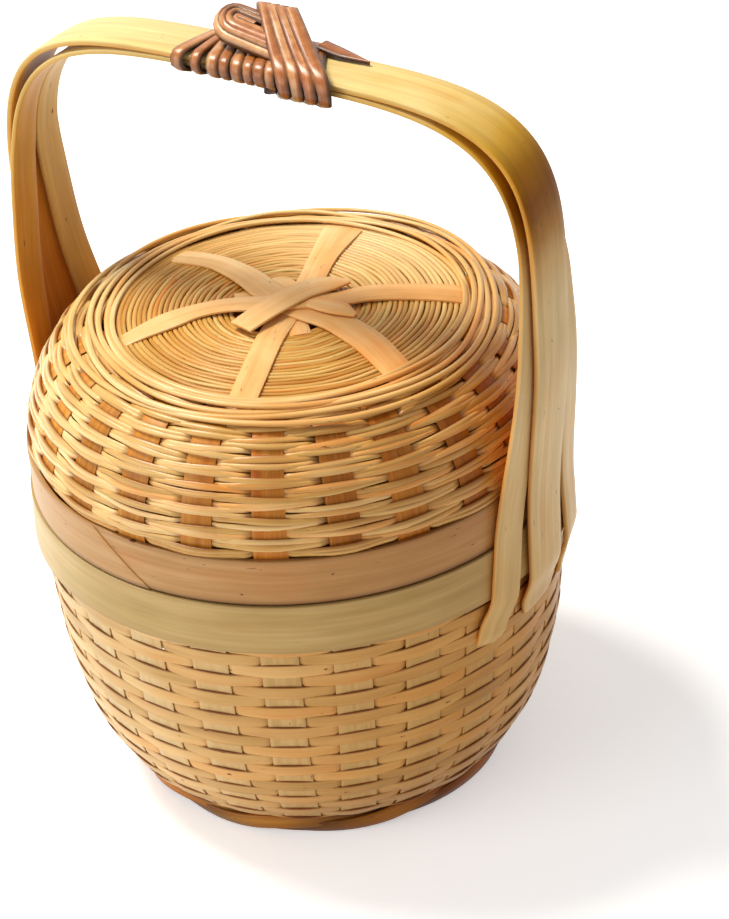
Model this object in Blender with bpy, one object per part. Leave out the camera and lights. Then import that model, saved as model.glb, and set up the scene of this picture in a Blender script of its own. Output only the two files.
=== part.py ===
"""Round bamboo food basket: a woven bowl on a twined foot, a domed woven lid and an arched handle.

Metres, +Z up. The origin is the middle of the foot's lower edge, where the basket stands.
The handle stands over the X axis. The lid rests on the bowl's rim and lifts off along +Z.
"""

import math

import bmesh
import bpy
import numpy as np
from mathutils import Vector

MM = 0.001
UP = Vector((0.0, 0.0, 1.0))
SIDE = Vector((0.0, 1.0, 0.0))

# Fit between pieces, and how finely round pieces are faceted
GAP = 0.3 * MM
DISC_STEPS = 48
SHARP_ANGLE = 40.0

# Foot: a standing hoop with two strands twined round it
FOOT_RADIUS = 56.8 * MM
FOOT_HEIGHT = 8.0 * MM
FOOT_THICKNESS = 2.0 * MM
FOOT_STRAND_WIDTH = 2.9 * MM
FOOT_STRAND_THICKNESS = 1.2 * MM
FOOT_STRAND_RISE = 2.4 * MM
FOOT_STRAND_WEAVE = 0.95 * MM
FOOT_TWISTS = 12
FOOT_STRAND_POINTS = 72

# Bowl: hoops at the rim, the woven wall between rim and foot, and the mat of the floor
SEAM_HEIGHT = 101.0 * MM
HOOP_THICKNESS = 1.6 * MM
BOWL_HOOP_RADIUS = 80.8 * MM
BOWL_HOOP_HEIGHT = 15.5 * MM
BOWL_HOOP_FLARE = 0.6 * MM
HOOP_LAP = 30.0 * MM
HOOP_LAP_EDGE = 0.4 * MM
HOOP_LAP_GAP = 0.15 * MM
BOWL_LAP_AZIMUTH = 124.5
LIP_HEIGHT = 6.0 * MM
LIP_GRIP = 10.0 * MM
WALL_THICKNESS = 2.8 * MM
CLAMPED_THICKNESS = 0.6 * MM
WALL_FOOT_RADIUS = 59.5 * MM
WALL_FOOT_WIDTH = 3.7 * MM
MAT_THICKNESS = 2.0 * MM
MAT_EDGE_CLEARANCE = 3.2 * MM

# Outline of the bowl's wall: share of its growth in radius, share of its height
WALL_OUTLINE_SHARES = (
    (0.0, 0.0), (0.19, 0.035), (0.38, 0.11), (0.58, 0.225), (0.75, 0.375),
    (0.86, 0.55), (0.935, 0.77), (1.0, 1.0),
)

# Lid: hoops, the woven dome, the coiled crown and the strips that cross it
LIP_CLEARANCE = 0.4 * MM
LID_HOOP_HEIGHT = 14.7 * MM
LID_LAP_AZIMUTH = -115.5
LID_INNER_HOOP_HEIGHT = 7.3 * MM
DOME_THICKNESS = 2.4 * MM
DOME_HEIGHT = 33.3 * MM
DOME_SET_IN = 0.6 * MM
CROWN_RADIUS = 50.0 * MM
CROWN_OPENING_RADIUS = 54.6 * MM
CROWN_PASS_SHARE = 0.37
CROWN_THICKNESS = 1.8 * MM
CROWN_CAMBER = 0.6 * MM
CROWN_RING_SHARES = (1.0, 0.6, 0.0)

# Outline of the lid's dome: share of its narrowing to the crown, share of its height
DOME_OUTLINE_SHARES = (
    (0.0, 0.0), (-0.01, 0.08), (0.03, 0.2), (0.11, 0.4), (0.245, 0.61),
    (0.435, 0.79), (0.69, 0.93), (1.0, 1.0),
)

# Stakes: the flat upright strips that the wefts are woven round
STAKE_COUNT = 24
STEPS_PER_STAKE = 2
STAKE_WIDTH = 10.4 * MM
STAKE_THICKNESS = 0.8 * MM
STAKE_END_RADIUS = 42.0 * MM
BOWL_STAKE_AZIMUTH = -3.0
LID_STAKE_AZIMUTH = 42.0
SPOKE_EVERY = 4
SPOKE_LEVEL_RADIUS = 25.0 * MM
SPOKE_STACK_RADIUS = 12.0 * MM
TOP_STRIP_LENGTH = 36.0 * MM
TOP_STRIP_AZIMUTH = 70.0

# Weave: rows of wefts that pass over one stake and behind the next, where the wall's face lies back
BOWL_ROW_PITCH = 3.92 * MM
BOWL_ROW_INSET = 1.6 * MM
BOWL_WEAVE_DEPTH = 0.9 * MM
LID_ROW_PITCH = 3.02 * MM
LID_ROW_TIGHTENING = 0.4 * MM
LID_ROW_INSET = 1.5 * MM
LID_WEAVE_DEPTH = 1.3 * MM
BETWEEN_STAKES_SHARE = 0.5

# Handle: one wide strip over two narrow ones, all tucked into the bowl's wall
HANDLE_HEIGHT = 230.0 * MM
HANDLE_HALF_SPAN = 88.0 * MM
SHOULDER_HEIGHT = 161.0 * MM
OUTER_ARCH_SQUARENESS = 4.6
INNER_ARCH_SQUARENESS = 4.0
CORNER_STANDOFF = 0.9 * MM
ARCH_STEPS = 26
TUCK_STEPS = 5
HOOP_STEPS = 2
LEG_STEPS = 5
OUTER_STRIP_WIDTH = 17.8 * MM
OUTER_STRIP_THICKNESS = 1.8 * MM
OUTER_STRIP_END_WIDTH = 13.0 * MM
INNER_STRIP_THICKNESS = 1.5 * MM
INNER_STRIP_SPACING = 0.5 * MM
INNER_STRIP_LEG_WIDTH = 11.0 * MM
STRIP_END_THICKNESS = 1.3 * MM
STANDOFF_AT_SEAM = 1.4 * MM
STANDOFF_AT_HOOP_FOOT = 0.8 * MM
SPLAY_START_HEIGHT = 190.0 * MM
SPLAY_SPREAD = 16.4 * MM
SPLAY_CURVE = 1.1
WIDENING_START_HEIGHT = 224.0 * MM
WIDENING_DROP = 50.0 * MM
END_ROUNDING = 8.0 * MM
TUCK_DROP = 12.0 * MM
OUTER_STRIP_END_HEIGHT = 68.0 * MM
INNER_STRIP_END_HEIGHT = 68.0 * MM

# Rattan winding and knot at the top of the handle
STRAND_WIDTH = 3.0 * MM
STRAND_THICKNESS = 1.2 * MM
STRAND_GAP = 0.45 * MM
POINTS_PER_TURN = 24
WRAP_START = -22.4 * MM
WRAP_TURNS = 12
WRAP_PITCH = 3.9 * MM
WRAP_CORNER_INSET = 0.5 * MM
BAND_START = 6.5 * MM
BAND_TURNS = 4
BAND_PITCH = 4.0 * MM
BAND_SLANT = 13.0 * MM
LOOP_START = -17.5 * MM
LOOP_LENGTH = 18.0 * MM
LOOP_HEIGHT = 3.8 * MM
LOOP_TURNS = 4
LOOP_PITCH = 3.6 * MM
TAIL_START = 26.5 * MM
TAIL_LENGTH = 11.0 * MM
TAIL_WIDTH = 5.0 * MM
TAIL_TIP_WIDTH = 0.8 * MM
TAIL_OFFSET = 4.0 * MM


# Sizes that follow from the ones above
ring_steps = STAKE_COUNT * STEPS_PER_STAKE
hoop_inner_radius = BOWL_HOOP_RADIUS - HOOP_THICKNESS
hoop_foot_height = SEAM_HEIGHT - BOWL_HOOP_HEIGHT
hoop_foot_radius = BOWL_HOOP_RADIUS + BOWL_HOOP_FLARE
bowl_tongue_radius = hoop_inner_radius - GAP
lip_radius = bowl_tongue_radius - CLAMPED_THICKNESS - GAP
lip_top = SEAM_HEIGHT + LIP_HEIGHT
lip_foot = SEAM_HEIGHT - LIP_GRIP
lid_hoop_radius = lip_radius + LIP_CLEARANCE + HOOP_THICKNESS
lid_foot = SEAM_HEIGHT + GAP
lid_hoop_top = lid_foot + LID_HOOP_HEIGHT
lid_tongue_radius = lip_radius + LIP_CLEARANCE - GAP
lid_inner_hoop_foot = lip_top + LIP_CLEARANCE
lid_inner_hoop_top = lid_inner_hoop_foot + LID_INNER_HOOP_HEIGHT
lid_inner_hoop_radius = lid_tongue_radius - CLAMPED_THICKNESS - GAP
dome_foot = lid_hoop_top + GAP
dome_foot_radius = lid_hoop_radius - DOME_SET_IN
dome_top = dome_foot + DOME_HEIGHT
wall_foot = FOOT_HEIGHT + GAP
wall_top = hoop_foot_height - GAP
floor_stake_height = FOOT_HEIGHT + STAKE_THICKNESS / 2.0
mat_foot = FOOT_HEIGHT + STAKE_THICKNESS + GAP
mat_radius = WALL_FOOT_RADIUS - WALL_FOOT_WIDTH - MAT_EDGE_CLEARANCE
crown_foot = dome_top - CROWN_THICKNESS
crown_top = dome_top + CROWN_CAMBER
arch_rise = HANDLE_HEIGHT - SHOULDER_HEIGHT - OUTER_STRIP_THICKNESS
outer_half_span = HANDLE_HALF_SPAN - OUTER_STRIP_THICKNESS
inner_half_span = outer_half_span - CORNER_STANDOFF
inner_strip_width = (OUTER_STRIP_WIDTH - INNER_STRIP_SPACING) / 2.0
handle_stack = OUTER_STRIP_THICKNESS + GAP + INNER_STRIP_THICKNESS


def clear_scene():
    """Start from an empty scene."""
    for item in list(bpy.data.objects):
        bpy.data.objects.remove(item, do_unlink=True)


def finish_material(name, colour, roughness):
    """A plain Principled material."""
    made = bpy.data.materials.new(name)
    made.use_nodes = True
    shader = made.node_tree.nodes["Principled BSDF"]
    shader.inputs["Base Color"].default_value = (*colour, 1.0)
    shader.inputs["Roughness"].default_value = roughness
    shader.inputs["Metallic"].default_value = 0.0
    return made


def smooth_step(share):
    """Ease from 0 to 1."""
    held = min(max(share, 0.0), 1.0)
    return held * held * (3.0 - 2.0 * held)


def add_solid(name, rings, finish, closed=False):
    """Join rings of points, all with as many points, into one closed body."""
    shape = bmesh.new()
    loops = [[shape.verts.new(point) for point in ring] for ring in rings]
    pairs = list(zip(loops, loops[1:]))
    if closed:
        pairs.append((loops[-1], loops[0]))
    else:
        shape.faces.new(loops[0])
        shape.faces.new(loops[-1])
    for near, far in pairs:
        for index in range(len(near)):
            after = (index + 1) % len(near)
            shape.faces.new((near[index], near[after], far[after], far[index]))
    bmesh.ops.recalc_face_normals(shape, faces=shape.faces)
    return add_object(name, shape, finish)


def add_object(name, shape, finish):
    """Turn a bmesh into a named object with its material."""
    mesh = bpy.data.meshes.new(name)
    shape.to_mesh(mesh)
    shape.free()
    mesh.materials.append(finish)
    mesh.shade_smooth()
    mesh.set_sharp_from_angle(angle=math.radians(SHARP_ANGLE))
    made = bpy.data.objects.new(name, mesh)
    bpy.context.scene.collection.objects.link(made)
    return made


def turned_ring(outline, step, azimuth):
    """An outline of (radius, height) points set up at one step of a turn that starts at an azimuth."""
    angle = math.radians(azimuth) + 2.0 * math.pi * step / ring_steps
    return [polar(radius, angle, height) for radius, height in outline]


def add_turned(name, outline, finish):
    """Turn a closed outline of (radius, height) points round the Z axis."""
    rings = [turned_ring(outline, step, BOWL_STAKE_AZIMUTH) for step in range(ring_steps)]
    return add_solid(name, rings, finish, closed=True)


def outline_length(points):
    """Length of an outline."""
    return sum((Vector(end) - Vector(start)).length for start, end in zip(points, points[1:]))


def outline_point(points, run):
    """Point of an outline at a run from its start, and the direction that faces out there."""
    for start, end in zip(points, points[1:]):
        leg = Vector(end) - Vector(start)
        if run <= leg.length:
            break
        run -= leg.length
    way = leg.normalized()
    return Vector(start) + way * run, Vector((way.y, -way.x))


def woven_face(outline, rows, depth, step):
    """An outline's points at one step of the turn: a row that passes behind the stake there lies back.

    Rows are (run, stakes) pairs, where stakes is 0 or 1 for a row that passes over the even or odd stakes.
    """
    stake, between = divmod(step, STEPS_PER_STAKE)
    face = [outline[0]]
    for run, stakes in sorted(rows):
        point, outward = outline_point(outline, run)
        share = BETWEEN_STAKES_SHARE if between else (stake + stakes) % 2
        sunk = point - outward * (depth * share)
        face.append((sunk.x, sunk.y))
    return face + [outline[-1]]


def add_woven(name, below, outline, above, rows, depth, azimuth, finish):
    """Turn a woven wall from its outline, whose outer face is woven between the parts below and above."""
    rings = []
    for step in range(ring_steps):
        face = woven_face(outline, rows, depth, step)
        rings.append(turned_ring(below + face + above, step, azimuth))
    return add_solid(name, rings, finish, closed=True)


def add_disc(name, outline, finish):
    """Turn an outline whose first and last points lie on the Z axis."""
    shape = bmesh.new()
    points = [shape.verts.new((radius, 0.0, height)) for radius, height in outline]
    edges = [shape.edges.new(pair) for pair in zip(points, points[1:])]
    bmesh.ops.spin(
        shape, geom=points + edges, axis=UP, cent=(0.0, 0.0, 0.0),
        angle=2.0 * math.pi, steps=DISC_STEPS, use_merge=True,
    )
    bmesh.ops.remove_doubles(shape, verts=shape.verts, dist=GAP / DISC_STEPS)
    bmesh.ops.recalc_face_normals(shape, faces=shape.faces)
    return add_object(name, shape, finish)


def polar(radius, angle, height):
    """A point from its radius, angle in radians and height."""
    return Vector((radius * math.cos(angle), radius * math.sin(angle), height))


def flat_ring(centre, across, outward, width, thickness):
    """The four corners of a flat strip's section, whose inner face is centred on a point."""
    half = across * (width / 2.0)
    rise = outward * thickness
    return [centre - half, centre + half, centre + half + rise, centre - half + rise]


def strand_ring(centre, across, outward, width, thickness):
    """The six corners of a rounded strand's section round its centre."""
    half = across * (width / 2.0)
    shoulder = across * (width / 4.0)
    rise = outward * (thickness / 2.0)
    return [
        centre - half, centre - shoulder - rise, centre + shoulder - rise,
        centre + half, centre + shoulder + rise, centre - shoulder + rise,
    ]


def shifted_outline(points, distance):
    """An outline moved sideways, to the left of its own direction, by one distance at each point."""
    shifted = []
    for index, (radius, height) in enumerate(points):
        before = Vector(points[max(index - 1, 0)])
        after = Vector(points[min(index + 1, len(points) - 1)])
        here = Vector((radius, height))
        run = (after - before).normalized()
        side = Vector((-run.y, run.x))
        leg = (after - here) if after != here else (here - before)
        stretch = max(leg.normalized().dot(run), 0.5)
        moved = here + side * (distance(radius, side) / stretch)
        shifted.append((moved.x, moved.y))
    return shifted


def seat_distance(thickness):
    """How far a flat strip's middle lies from a round wall's face, whose facets it clears."""
    def distance(radius, side):
        facet = radius * (1.0 - math.cos(math.pi / ring_steps))
        bow = STAKE_WIDTH * STAKE_WIDTH / (8.0 * radius)
        return thickness / 2.0 + GAP + (facet + bow) * abs(side.x)
    return distance


def line_rings(line, azimuth, width, thickness):
    """Sections of a flat strip whose middle follows (reach, height) points in one upright plane."""
    angle = math.radians(azimuth)
    along = polar(1.0, angle, 0.0)
    across = Vector((-along.y, along.x, 0.0))
    rings = []
    for index, (reach, height) in enumerate(line):
        before = Vector(line[max(index - 1, 0)])
        after = Vector(line[min(index + 1, len(line) - 1)])
        run = (after - before).normalized()
        outward = UP * run.x - along * run.y
        inner_face = along * reach + UP * height - outward * (thickness / 2.0)
        rings.append(flat_ring(inner_face, across, outward, width, thickness))
    return rings


def add_line_strip(name, line, azimuth, width, thickness, finish):
    """A flat strip that follows a line of (reach, height) points in one upright plane."""
    return add_solid(name, line_rings(line, azimuth, width, thickness), finish)


def wall_outline():
    """Outer outline of the bowl's wall, from the foot up."""
    growth = hoop_inner_radius - WALL_FOOT_RADIUS
    rise = wall_top - wall_foot
    return [
        (WALL_FOOT_RADIUS + growth * out_share, wall_foot + rise * up_share)
        for out_share, up_share in WALL_OUTLINE_SHARES
    ]


def wall_inner_outline():
    """Inner outline of the bowl's wall, above its flat lower edge."""
    return shifted_outline(wall_outline(), lambda radius, side: WALL_THICKNESS)[1:]


def wall_radius(height):
    """Outer radius of the bowl's wall at a height."""
    points = wall_outline()
    for (low_radius, low), (high_radius, high) in zip(points, points[1:]):
        if height <= high:
            break
    share = (height - low) / (high - low)
    return low_radius + (high_radius - low_radius) * share


def dome_outline():
    """Outer outline of the lid's dome, from its foot to the crown's opening."""
    narrowing = CROWN_OPENING_RADIUS - dome_foot_radius
    return [
        (dome_foot_radius + narrowing * in_share, dome_foot + DOME_HEIGHT * up_share)
        for in_share, up_share in DOME_OUTLINE_SHARES
    ]


def dome_inner_outline():
    """Inner outline of the lid's dome, from its foot to the crown's opening."""
    return shifted_outline(dome_outline(), lambda radius, side: DOME_THICKNESS)


def add_hoop(name, radius, flare, foot, height, start_azimuth, finish):
    """A flat strip bent round into a hoop, its thinned ends lapped over each other."""
    lap = HOOP_LAP / radius
    lap_steps = round(lap / (2.0 * math.pi / ring_steps))
    rings = []
    for step in range(ring_steps + lap_steps + 1):
        angle = math.radians(start_azimuth) + 2.0 * math.pi * step / ring_steps
        starting = min(step / lap_steps, 1.0)
        ending = min((ring_steps + lap_steps - step) / lap_steps, 1.0)
        thickness = HOOP_LAP_EDGE + (HOOP_THICKNESS - HOOP_LAP_EDGE) * min(starting, ending)
        inner = radius - HOOP_THICKNESS
        if step >= ring_steps:
            under = (step - ring_steps) / lap_steps
            inner += HOOP_LAP_EDGE + (HOOP_THICKNESS - HOOP_LAP_EDGE) * under + HOOP_LAP_GAP
        else:
            lifting = min(max((step - ring_steps + lap_steps) / lap_steps, 0.0), 1.0)
            inner += (HOOP_LAP_EDGE + HOOP_LAP_GAP) * lifting
            thickness = min(thickness, radius - inner + HOOP_LAP_EDGE)
        outer = inner + thickness
        rings.append([
            polar(inner + flare, angle, foot), polar(outer + flare, angle, foot),
            polar(outer, angle, foot + height), polar(inner, angle, foot + height),
        ])
    return add_solid(name, rings, finish)


def build_foot(bamboo):
    """The standing hoop under the bowl, and the two strands twined round it."""
    inner = FOOT_RADIUS - FOOT_THICKNESS
    outline = [(inner, 0.0), (FOOT_RADIUS, 0.0), (FOOT_RADIUS, FOOT_HEIGHT), (inner, FOOT_HEIGHT)]
    add_turned("foot_hoop", outline, bamboo)
    nearest = FOOT_RADIUS + GAP
    for number, phase in ((1, 0.0), (2, math.pi)):
        rings = []
        for step in range(FOOT_STRAND_POINTS):
            angle = 2.0 * math.pi * step / FOOT_STRAND_POINTS
            turn = FOOT_TWISTS * angle + phase
            radius = nearest + FOOT_STRAND_WEAVE * (1.0 + math.cos(turn))
            height = FOOT_HEIGHT / 2.0 + FOOT_STRAND_RISE * math.sin(turn)
            rings.append(flat_ring(
                polar(radius, angle, height), UP, polar(1.0, angle, 0.0),
                FOOT_STRAND_WIDTH, FOOT_STRAND_THICKNESS,
            ))
        add_solid(f"foot_strand_{number}", rings, bamboo, closed=True)


def bowl_rows():
    """Rows of the bowl's wall, laid from the rim down: run along the outline, and which stakes it passes over."""
    run = outline_length(wall_outline()) - BOWL_ROW_INSET
    rows = []
    while run > 0.0:
        rows.append((run, (len(rows) + 1) % 2))
        run -= BOWL_ROW_PITCH
    return rows


def build_bowl_wall(weft):
    """The woven wall, thinned where the rim's two hoops clamp it, with pockets for the handle."""
    outer = wall_outline()
    inner = wall_inner_outline()
    tongue_top = SEAM_HEIGHT - GAP
    tongue_inner = bowl_tongue_radius - CLAMPED_THICKNESS
    below = [(WALL_FOOT_RADIUS - WALL_FOOT_WIDTH, wall_foot)]
    above = [(bowl_tongue_radius, wall_top + GAP), (bowl_tongue_radius, tongue_top)]
    above += [(tongue_inner, tongue_top), (tongue_inner, lip_foot - GAP)]
    above += reversed(inner)
    rows = bowl_rows()
    wall = add_woven(
        "bowl_wall", below, outer, above, rows, BOWL_WEAVE_DEPTH, BOWL_STAKE_AZIMUTH, weft,
    )
    for number, rings in enumerate(handle_strip_rings(GAP)):
        cutter = add_solid(f"pocket_cutter_{number}", rings, weft)
        cutter.hide_render = True
        cutter.display_type = "WIRE"
        cut = wall.modifiers.new("pocket", "BOOLEAN")
        cut.operation = "DIFFERENCE"
        cut.solver = "EXACT"
        cut.object = cutter


def bowl_stake_line():
    """Middle of a bowl stake: out under the floor mat, then up inside the wall to the rim's hoop."""
    wall_line = shifted_outline(wall_inner_outline(), seat_distance(STAKE_THICKNESS))
    top_radius = wall_line[-1][0]
    turn_radius = mat_radius + GAP
    line = [(STAKE_END_RADIUS, floor_stake_height), (turn_radius, floor_stake_height)]
    return line + wall_line + [(top_radius, lip_foot - 2.0 * GAP)]


def build_bowl(bamboo, weft):
    """The wall, the floor mat, the stakes and the rim's hoops."""
    build_bowl_wall(weft)
    mat = [(0.0, mat_foot), (mat_radius, mat_foot)]
    mat += [(mat_radius, mat_foot + MAT_THICKNESS), (0.0, mat_foot + MAT_THICKNESS)]
    add_disc("floor_mat", mat, weft)
    line = bowl_stake_line()
    for number in range(STAKE_COUNT):
        azimuth = BOWL_STAKE_AZIMUTH + 360.0 * number / STAKE_COUNT
        name = f"bowl_stake_{number + 1:02d}"
        add_line_strip(name, line, azimuth, STAKE_WIDTH, STAKE_THICKNESS, bamboo)
    add_hoop(
        "bowl_outer_hoop", BOWL_HOOP_RADIUS, BOWL_HOOP_FLARE, hoop_foot_height,
        BOWL_HOOP_HEIGHT, BOWL_LAP_AZIMUTH, bamboo,
    )
    lip = [(lip_radius - HOOP_THICKNESS, lip_foot), (lip_radius, lip_foot)]
    lip += [(lip_radius, lip_top), (lip_radius - HOOP_THICKNESS, lip_top)]
    add_turned("bowl_inner_hoop", lip, bamboo)


def lid_rows():
    """Rows of the lid's dome, laid from the rim up and closer towards the crown, as for the bowl."""
    length = outline_length(dome_outline())
    run = LID_ROW_INSET
    rows = []
    while run < length:
        rows.append((run, len(rows) % 2))
        run += LID_ROW_PITCH - LID_ROW_TIGHTENING * run / length
    return rows


def build_lid_wall(weft):
    """The woven dome, thinned below where the lid's two hoops clamp it."""
    tongue_inner = lid_tongue_radius - CLAMPED_THICKNESS
    below = [(lid_tongue_radius, lid_inner_hoop_foot), (lid_tongue_radius, lid_hoop_top)]
    above = list(reversed(dome_inner_outline()))
    above += [(tongue_inner, lid_inner_hoop_top + GAP), (tongue_inner, lid_inner_hoop_foot)]
    add_woven(
        "lid_dome", below, dome_outline(), above, lid_rows(), LID_WEAVE_DEPTH,
        LID_STAKE_AZIMUTH, weft,
    )


def dome_stake_line():
    """Middle of a stake inside the dome, from the rim to the crown's opening."""
    line = shifted_outline(dome_inner_outline(), seat_distance(STAKE_THICKNESS))
    return [point for point in line if point[1] > lid_inner_hoop_top + STAKE_THICKNESS]


def spoke_line(level):
    """Middle of a crossing strip: up inside one side of the dome, over the crown and down the other."""
    rise = GAP + STAKE_THICKNESS / 2.0
    inside = dome_stake_line()
    edge_reach = CROWN_RADIUS + rise
    pass_reach = CROWN_RADIUS + (CROWN_OPENING_RADIUS - CROWN_RADIUS) * CROWN_PASS_SHARE
    half = []
    for reach in (SPOKE_STACK_RADIUS / 2.0, SPOKE_STACK_RADIUS, SPOKE_LEVEL_RADIUS, edge_reach):
        share = (reach - SPOKE_STACK_RADIUS) / (SPOKE_LEVEL_RADIUS - SPOKE_STACK_RADIUS)
        lift = level * (STAKE_THICKNESS + GAP) * (1.0 - smooth_step(share))
        half.append((reach, crown_top - crown_fall(reach) + rise + lift))
    half += [(pass_reach, crown_foot - GAP)] + list(reversed(inside))
    mirrored = [(-reach, height) for reach, height in reversed(half)]
    return mirrored + half


def crown_fall(reach):
    """How far the crown lies under its middle at a reach from the axis."""
    return CROWN_CAMBER * min(reach / CROWN_RADIUS, 1.0) ** 2


def build_crown(bamboo, weft):
    """The coiled disc at the top, the strips that cross it and the stakes hidden under it."""
    reaches = [CROWN_RADIUS * share for share in CROWN_RING_SHARES]
    top = [(reach, crown_top - crown_fall(reach)) for reach in reaches]
    add_disc("lid_crown_coil", [(0.0, crown_foot), (CROWN_RADIUS, crown_foot)] + top, weft)
    spokes = STAKE_COUNT // SPOKE_EVERY // 2
    for number in range(spokes):
        azimuth = LID_STAKE_AZIMUTH + 180.0 * number / spokes
        name = f"lid_crossing_strip_{number + 1}"
        add_line_strip(name, spoke_line(number), azimuth, STAKE_WIDTH, STAKE_THICKNESS, bamboo)
    lift = spokes * (STAKE_THICKNESS + GAP) + STAKE_THICKNESS / 2.0 + GAP
    half = TOP_STRIP_LENGTH / 2.0
    drop = spokes * GAP
    line = [(-half, crown_top + lift - drop), (0.0, crown_top + lift), (half, crown_top + lift - drop)]
    add_line_strip("lid_top_strip", line, TOP_STRIP_AZIMUTH, STAKE_WIDTH, STAKE_THICKNESS, bamboo)
    build_lid_stakes(bamboo)


def build_lid_stakes(bamboo):
    """The stakes under the crown: they overlap in the middle, so they are one star-shaped piece."""
    low = crown_foot - GAP - STAKE_THICKNESS
    line = [(STAKE_END_RADIUS, low + STAKE_THICKNESS / 2.0)] + list(reversed(dome_stake_line()))
    shape = bmesh.new()
    corners = []
    for number in range(STAKE_COUNT):
        if number % SPOKE_EVERY == 0:
            continue
        azimuth = LID_STAKE_AZIMUTH + 360.0 * number / STAKE_COUNT
        rings = line_rings(line, azimuth, STAKE_WIDTH, STAKE_THICKNESS)
        loops = [[shape.verts.new(point) for point in ring] for ring in rings]
        for near, far in zip(loops, loops[1:]):
            for index in range(len(near)):
                after = (index + 1) % len(near)
                shape.faces.new((near[index], near[after], far[after], far[index]))
        shape.faces.new(loops[-1])
        corners.append(loops[0])
    shape.faces.new([corner for ring in corners for corner in (ring[0], ring[1])])
    shape.faces.new([corner for ring in corners for corner in (ring[3], ring[2])])
    for ring, following in zip(corners, corners[1:] + corners[:1]):
        shape.faces.new((ring[1], following[0], following[3], ring[2]))
    bmesh.ops.recalc_face_normals(shape, faces=shape.faces)
    add_object("lid_stakes", shape, bamboo)


def build_lid(bamboo, weft):
    """The lid's hoops, dome and crown."""
    add_hoop(
        "lid_outer_hoop", lid_hoop_radius, 0.0, lid_foot,
        LID_HOOP_HEIGHT, LID_LAP_AZIMUTH, bamboo,
    )
    inner = lid_inner_hoop_radius - HOOP_THICKNESS
    outline = [(inner, lid_inner_hoop_foot), (lid_inner_hoop_radius, lid_inner_hoop_foot)]
    outline += [(lid_inner_hoop_radius, lid_inner_hoop_top), (inner, lid_inner_hoop_top)]
    add_turned("lid_inner_hoop", outline, bamboo)
    build_lid_wall(weft)
    build_crown(bamboo, weft)


def arch_side(width_share, half_span, squareness):
    """Point and outward direction on an arch, for a share from its +X end to its -X end."""
    angle = math.pi * width_share
    power = 2.0 / squareness
    across, up = math.cos(angle), math.sin(angle)
    x = half_span * math.copysign(abs(across) ** power, across)
    z = SHOULDER_HEIGHT + arch_rise * max(up, 0.0) ** power
    lean = math.copysign(abs(x / half_span) ** (squareness - 1.0), x) / half_span
    climb = ((z - SHOULDER_HEIGHT) / arch_rise) ** (squareness - 1.0) / arch_rise
    return x, z, Vector((lean, 0.0, climb)).normalized()


def leg_reach(height, half_span):
    """Reach of a leg's face from the middle, from the arch's half span in to the rim and the wall."""
    at_seam = BOWL_HOOP_RADIUS + STANDOFF_AT_SEAM
    at_hoop_foot = hoop_foot_radius + STANDOFF_AT_HOOP_FOOT
    if height >= SEAM_HEIGHT:
        share = smooth_step((SHOULDER_HEIGHT - height) / (SHOULDER_HEIGHT - SEAM_HEIGHT))
        return half_span + (at_seam - half_span) * share
    if height >= hoop_foot_height:
        share = (SEAM_HEIGHT - height) / BOWL_HOOP_HEIGHT
        return at_seam + (at_hoop_foot - at_seam) * share
    share = smooth_step((hoop_foot_height - height) / TUCK_DROP)
    return at_hoop_foot + (wall_radius(height) - STRIP_END_THICKNESS - at_hoop_foot) * share


def leg_heights(end_height):
    """Heights of the sections of one leg, from its tucked end to the arch's shoulder."""
    heights = []
    for low, high, steps in (
        (end_height, hoop_foot_height, TUCK_STEPS),
        (hoop_foot_height, SEAM_HEIGHT, HOOP_STEPS),
        (SEAM_HEIGHT, SHOULDER_HEIGHT, LEG_STEPS),
    ):
        heights += [low + (high - low) * step / steps for step in range(steps)]
    return heights


def strip_thickness(height, end_height, full):
    """Thickness of a handle strip, thinned towards its tucked end."""
    share = smooth_step((height - end_height) / (SHOULDER_HEIGHT - end_height))
    return STRIP_END_THICKNESS + (full - STRIP_END_THICKNESS) * share


def outer_leg_ring(hand, height, margin):
    """Section of the wide outer strip on one leg; hand is 1 on the +X leg and -1 on the other."""
    rounding = smooth_step((height - OUTER_STRIP_END_HEIGHT) / END_ROUNDING)
    width = OUTER_STRIP_END_WIDTH + (OUTER_STRIP_WIDTH - OUTER_STRIP_END_WIDTH) * rounding
    thickness = strip_thickness(height, OUTER_STRIP_END_HEIGHT, OUTER_STRIP_THICKNESS)
    outward = Vector((hand, 0.0, 0.0))
    face = outward * (leg_reach(height, outer_half_span) - margin) + UP * height
    return flat_ring(face, SIDE, outward, width + 2.0 * margin, thickness + 2.0 * margin)


def outer_strip_rings(margin):
    """Sections of the wide outer strip, with a margin all round for its pockets."""
    heights = leg_heights(OUTER_STRIP_END_HEIGHT - margin)
    near, far = ([outer_leg_ring(hand, height, margin) for height in heights] for hand in (1.0, -1.0))
    arch = []
    for step in range(ARCH_STEPS + 1):
        x, z, outward = arch_side(step / ARCH_STEPS, outer_half_span, OUTER_ARCH_SQUARENESS)
        face = Vector((x, 0.0, z)) - outward * margin
        width, thickness = OUTER_STRIP_WIDTH + 2.0 * margin, OUTER_STRIP_THICKNESS + 2.0 * margin
        arch.append(flat_ring(face, SIDE, outward, width, thickness))
    return near + arch + far[::-1]


def splay_offset(height):
    """How far an inner strip's middle lies beside the handle's middle."""
    share = (SPLAY_START_HEIGHT - height) / (SPLAY_START_HEIGHT - INNER_STRIP_END_HEIGHT)
    beside = (splay_width(height) + INNER_STRIP_SPACING) / 2.0
    return beside + SPLAY_SPREAD * max(share, 0.0) ** SPLAY_CURVE


def splay_width(height):
    """Width of an inner strip, which is cut narrower along the top of the handle."""
    share = smooth_step((WIDENING_START_HEIGHT - height) / WIDENING_DROP)
    return inner_strip_width + (INNER_STRIP_LEG_WIDTH - inner_strip_width) * share


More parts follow.
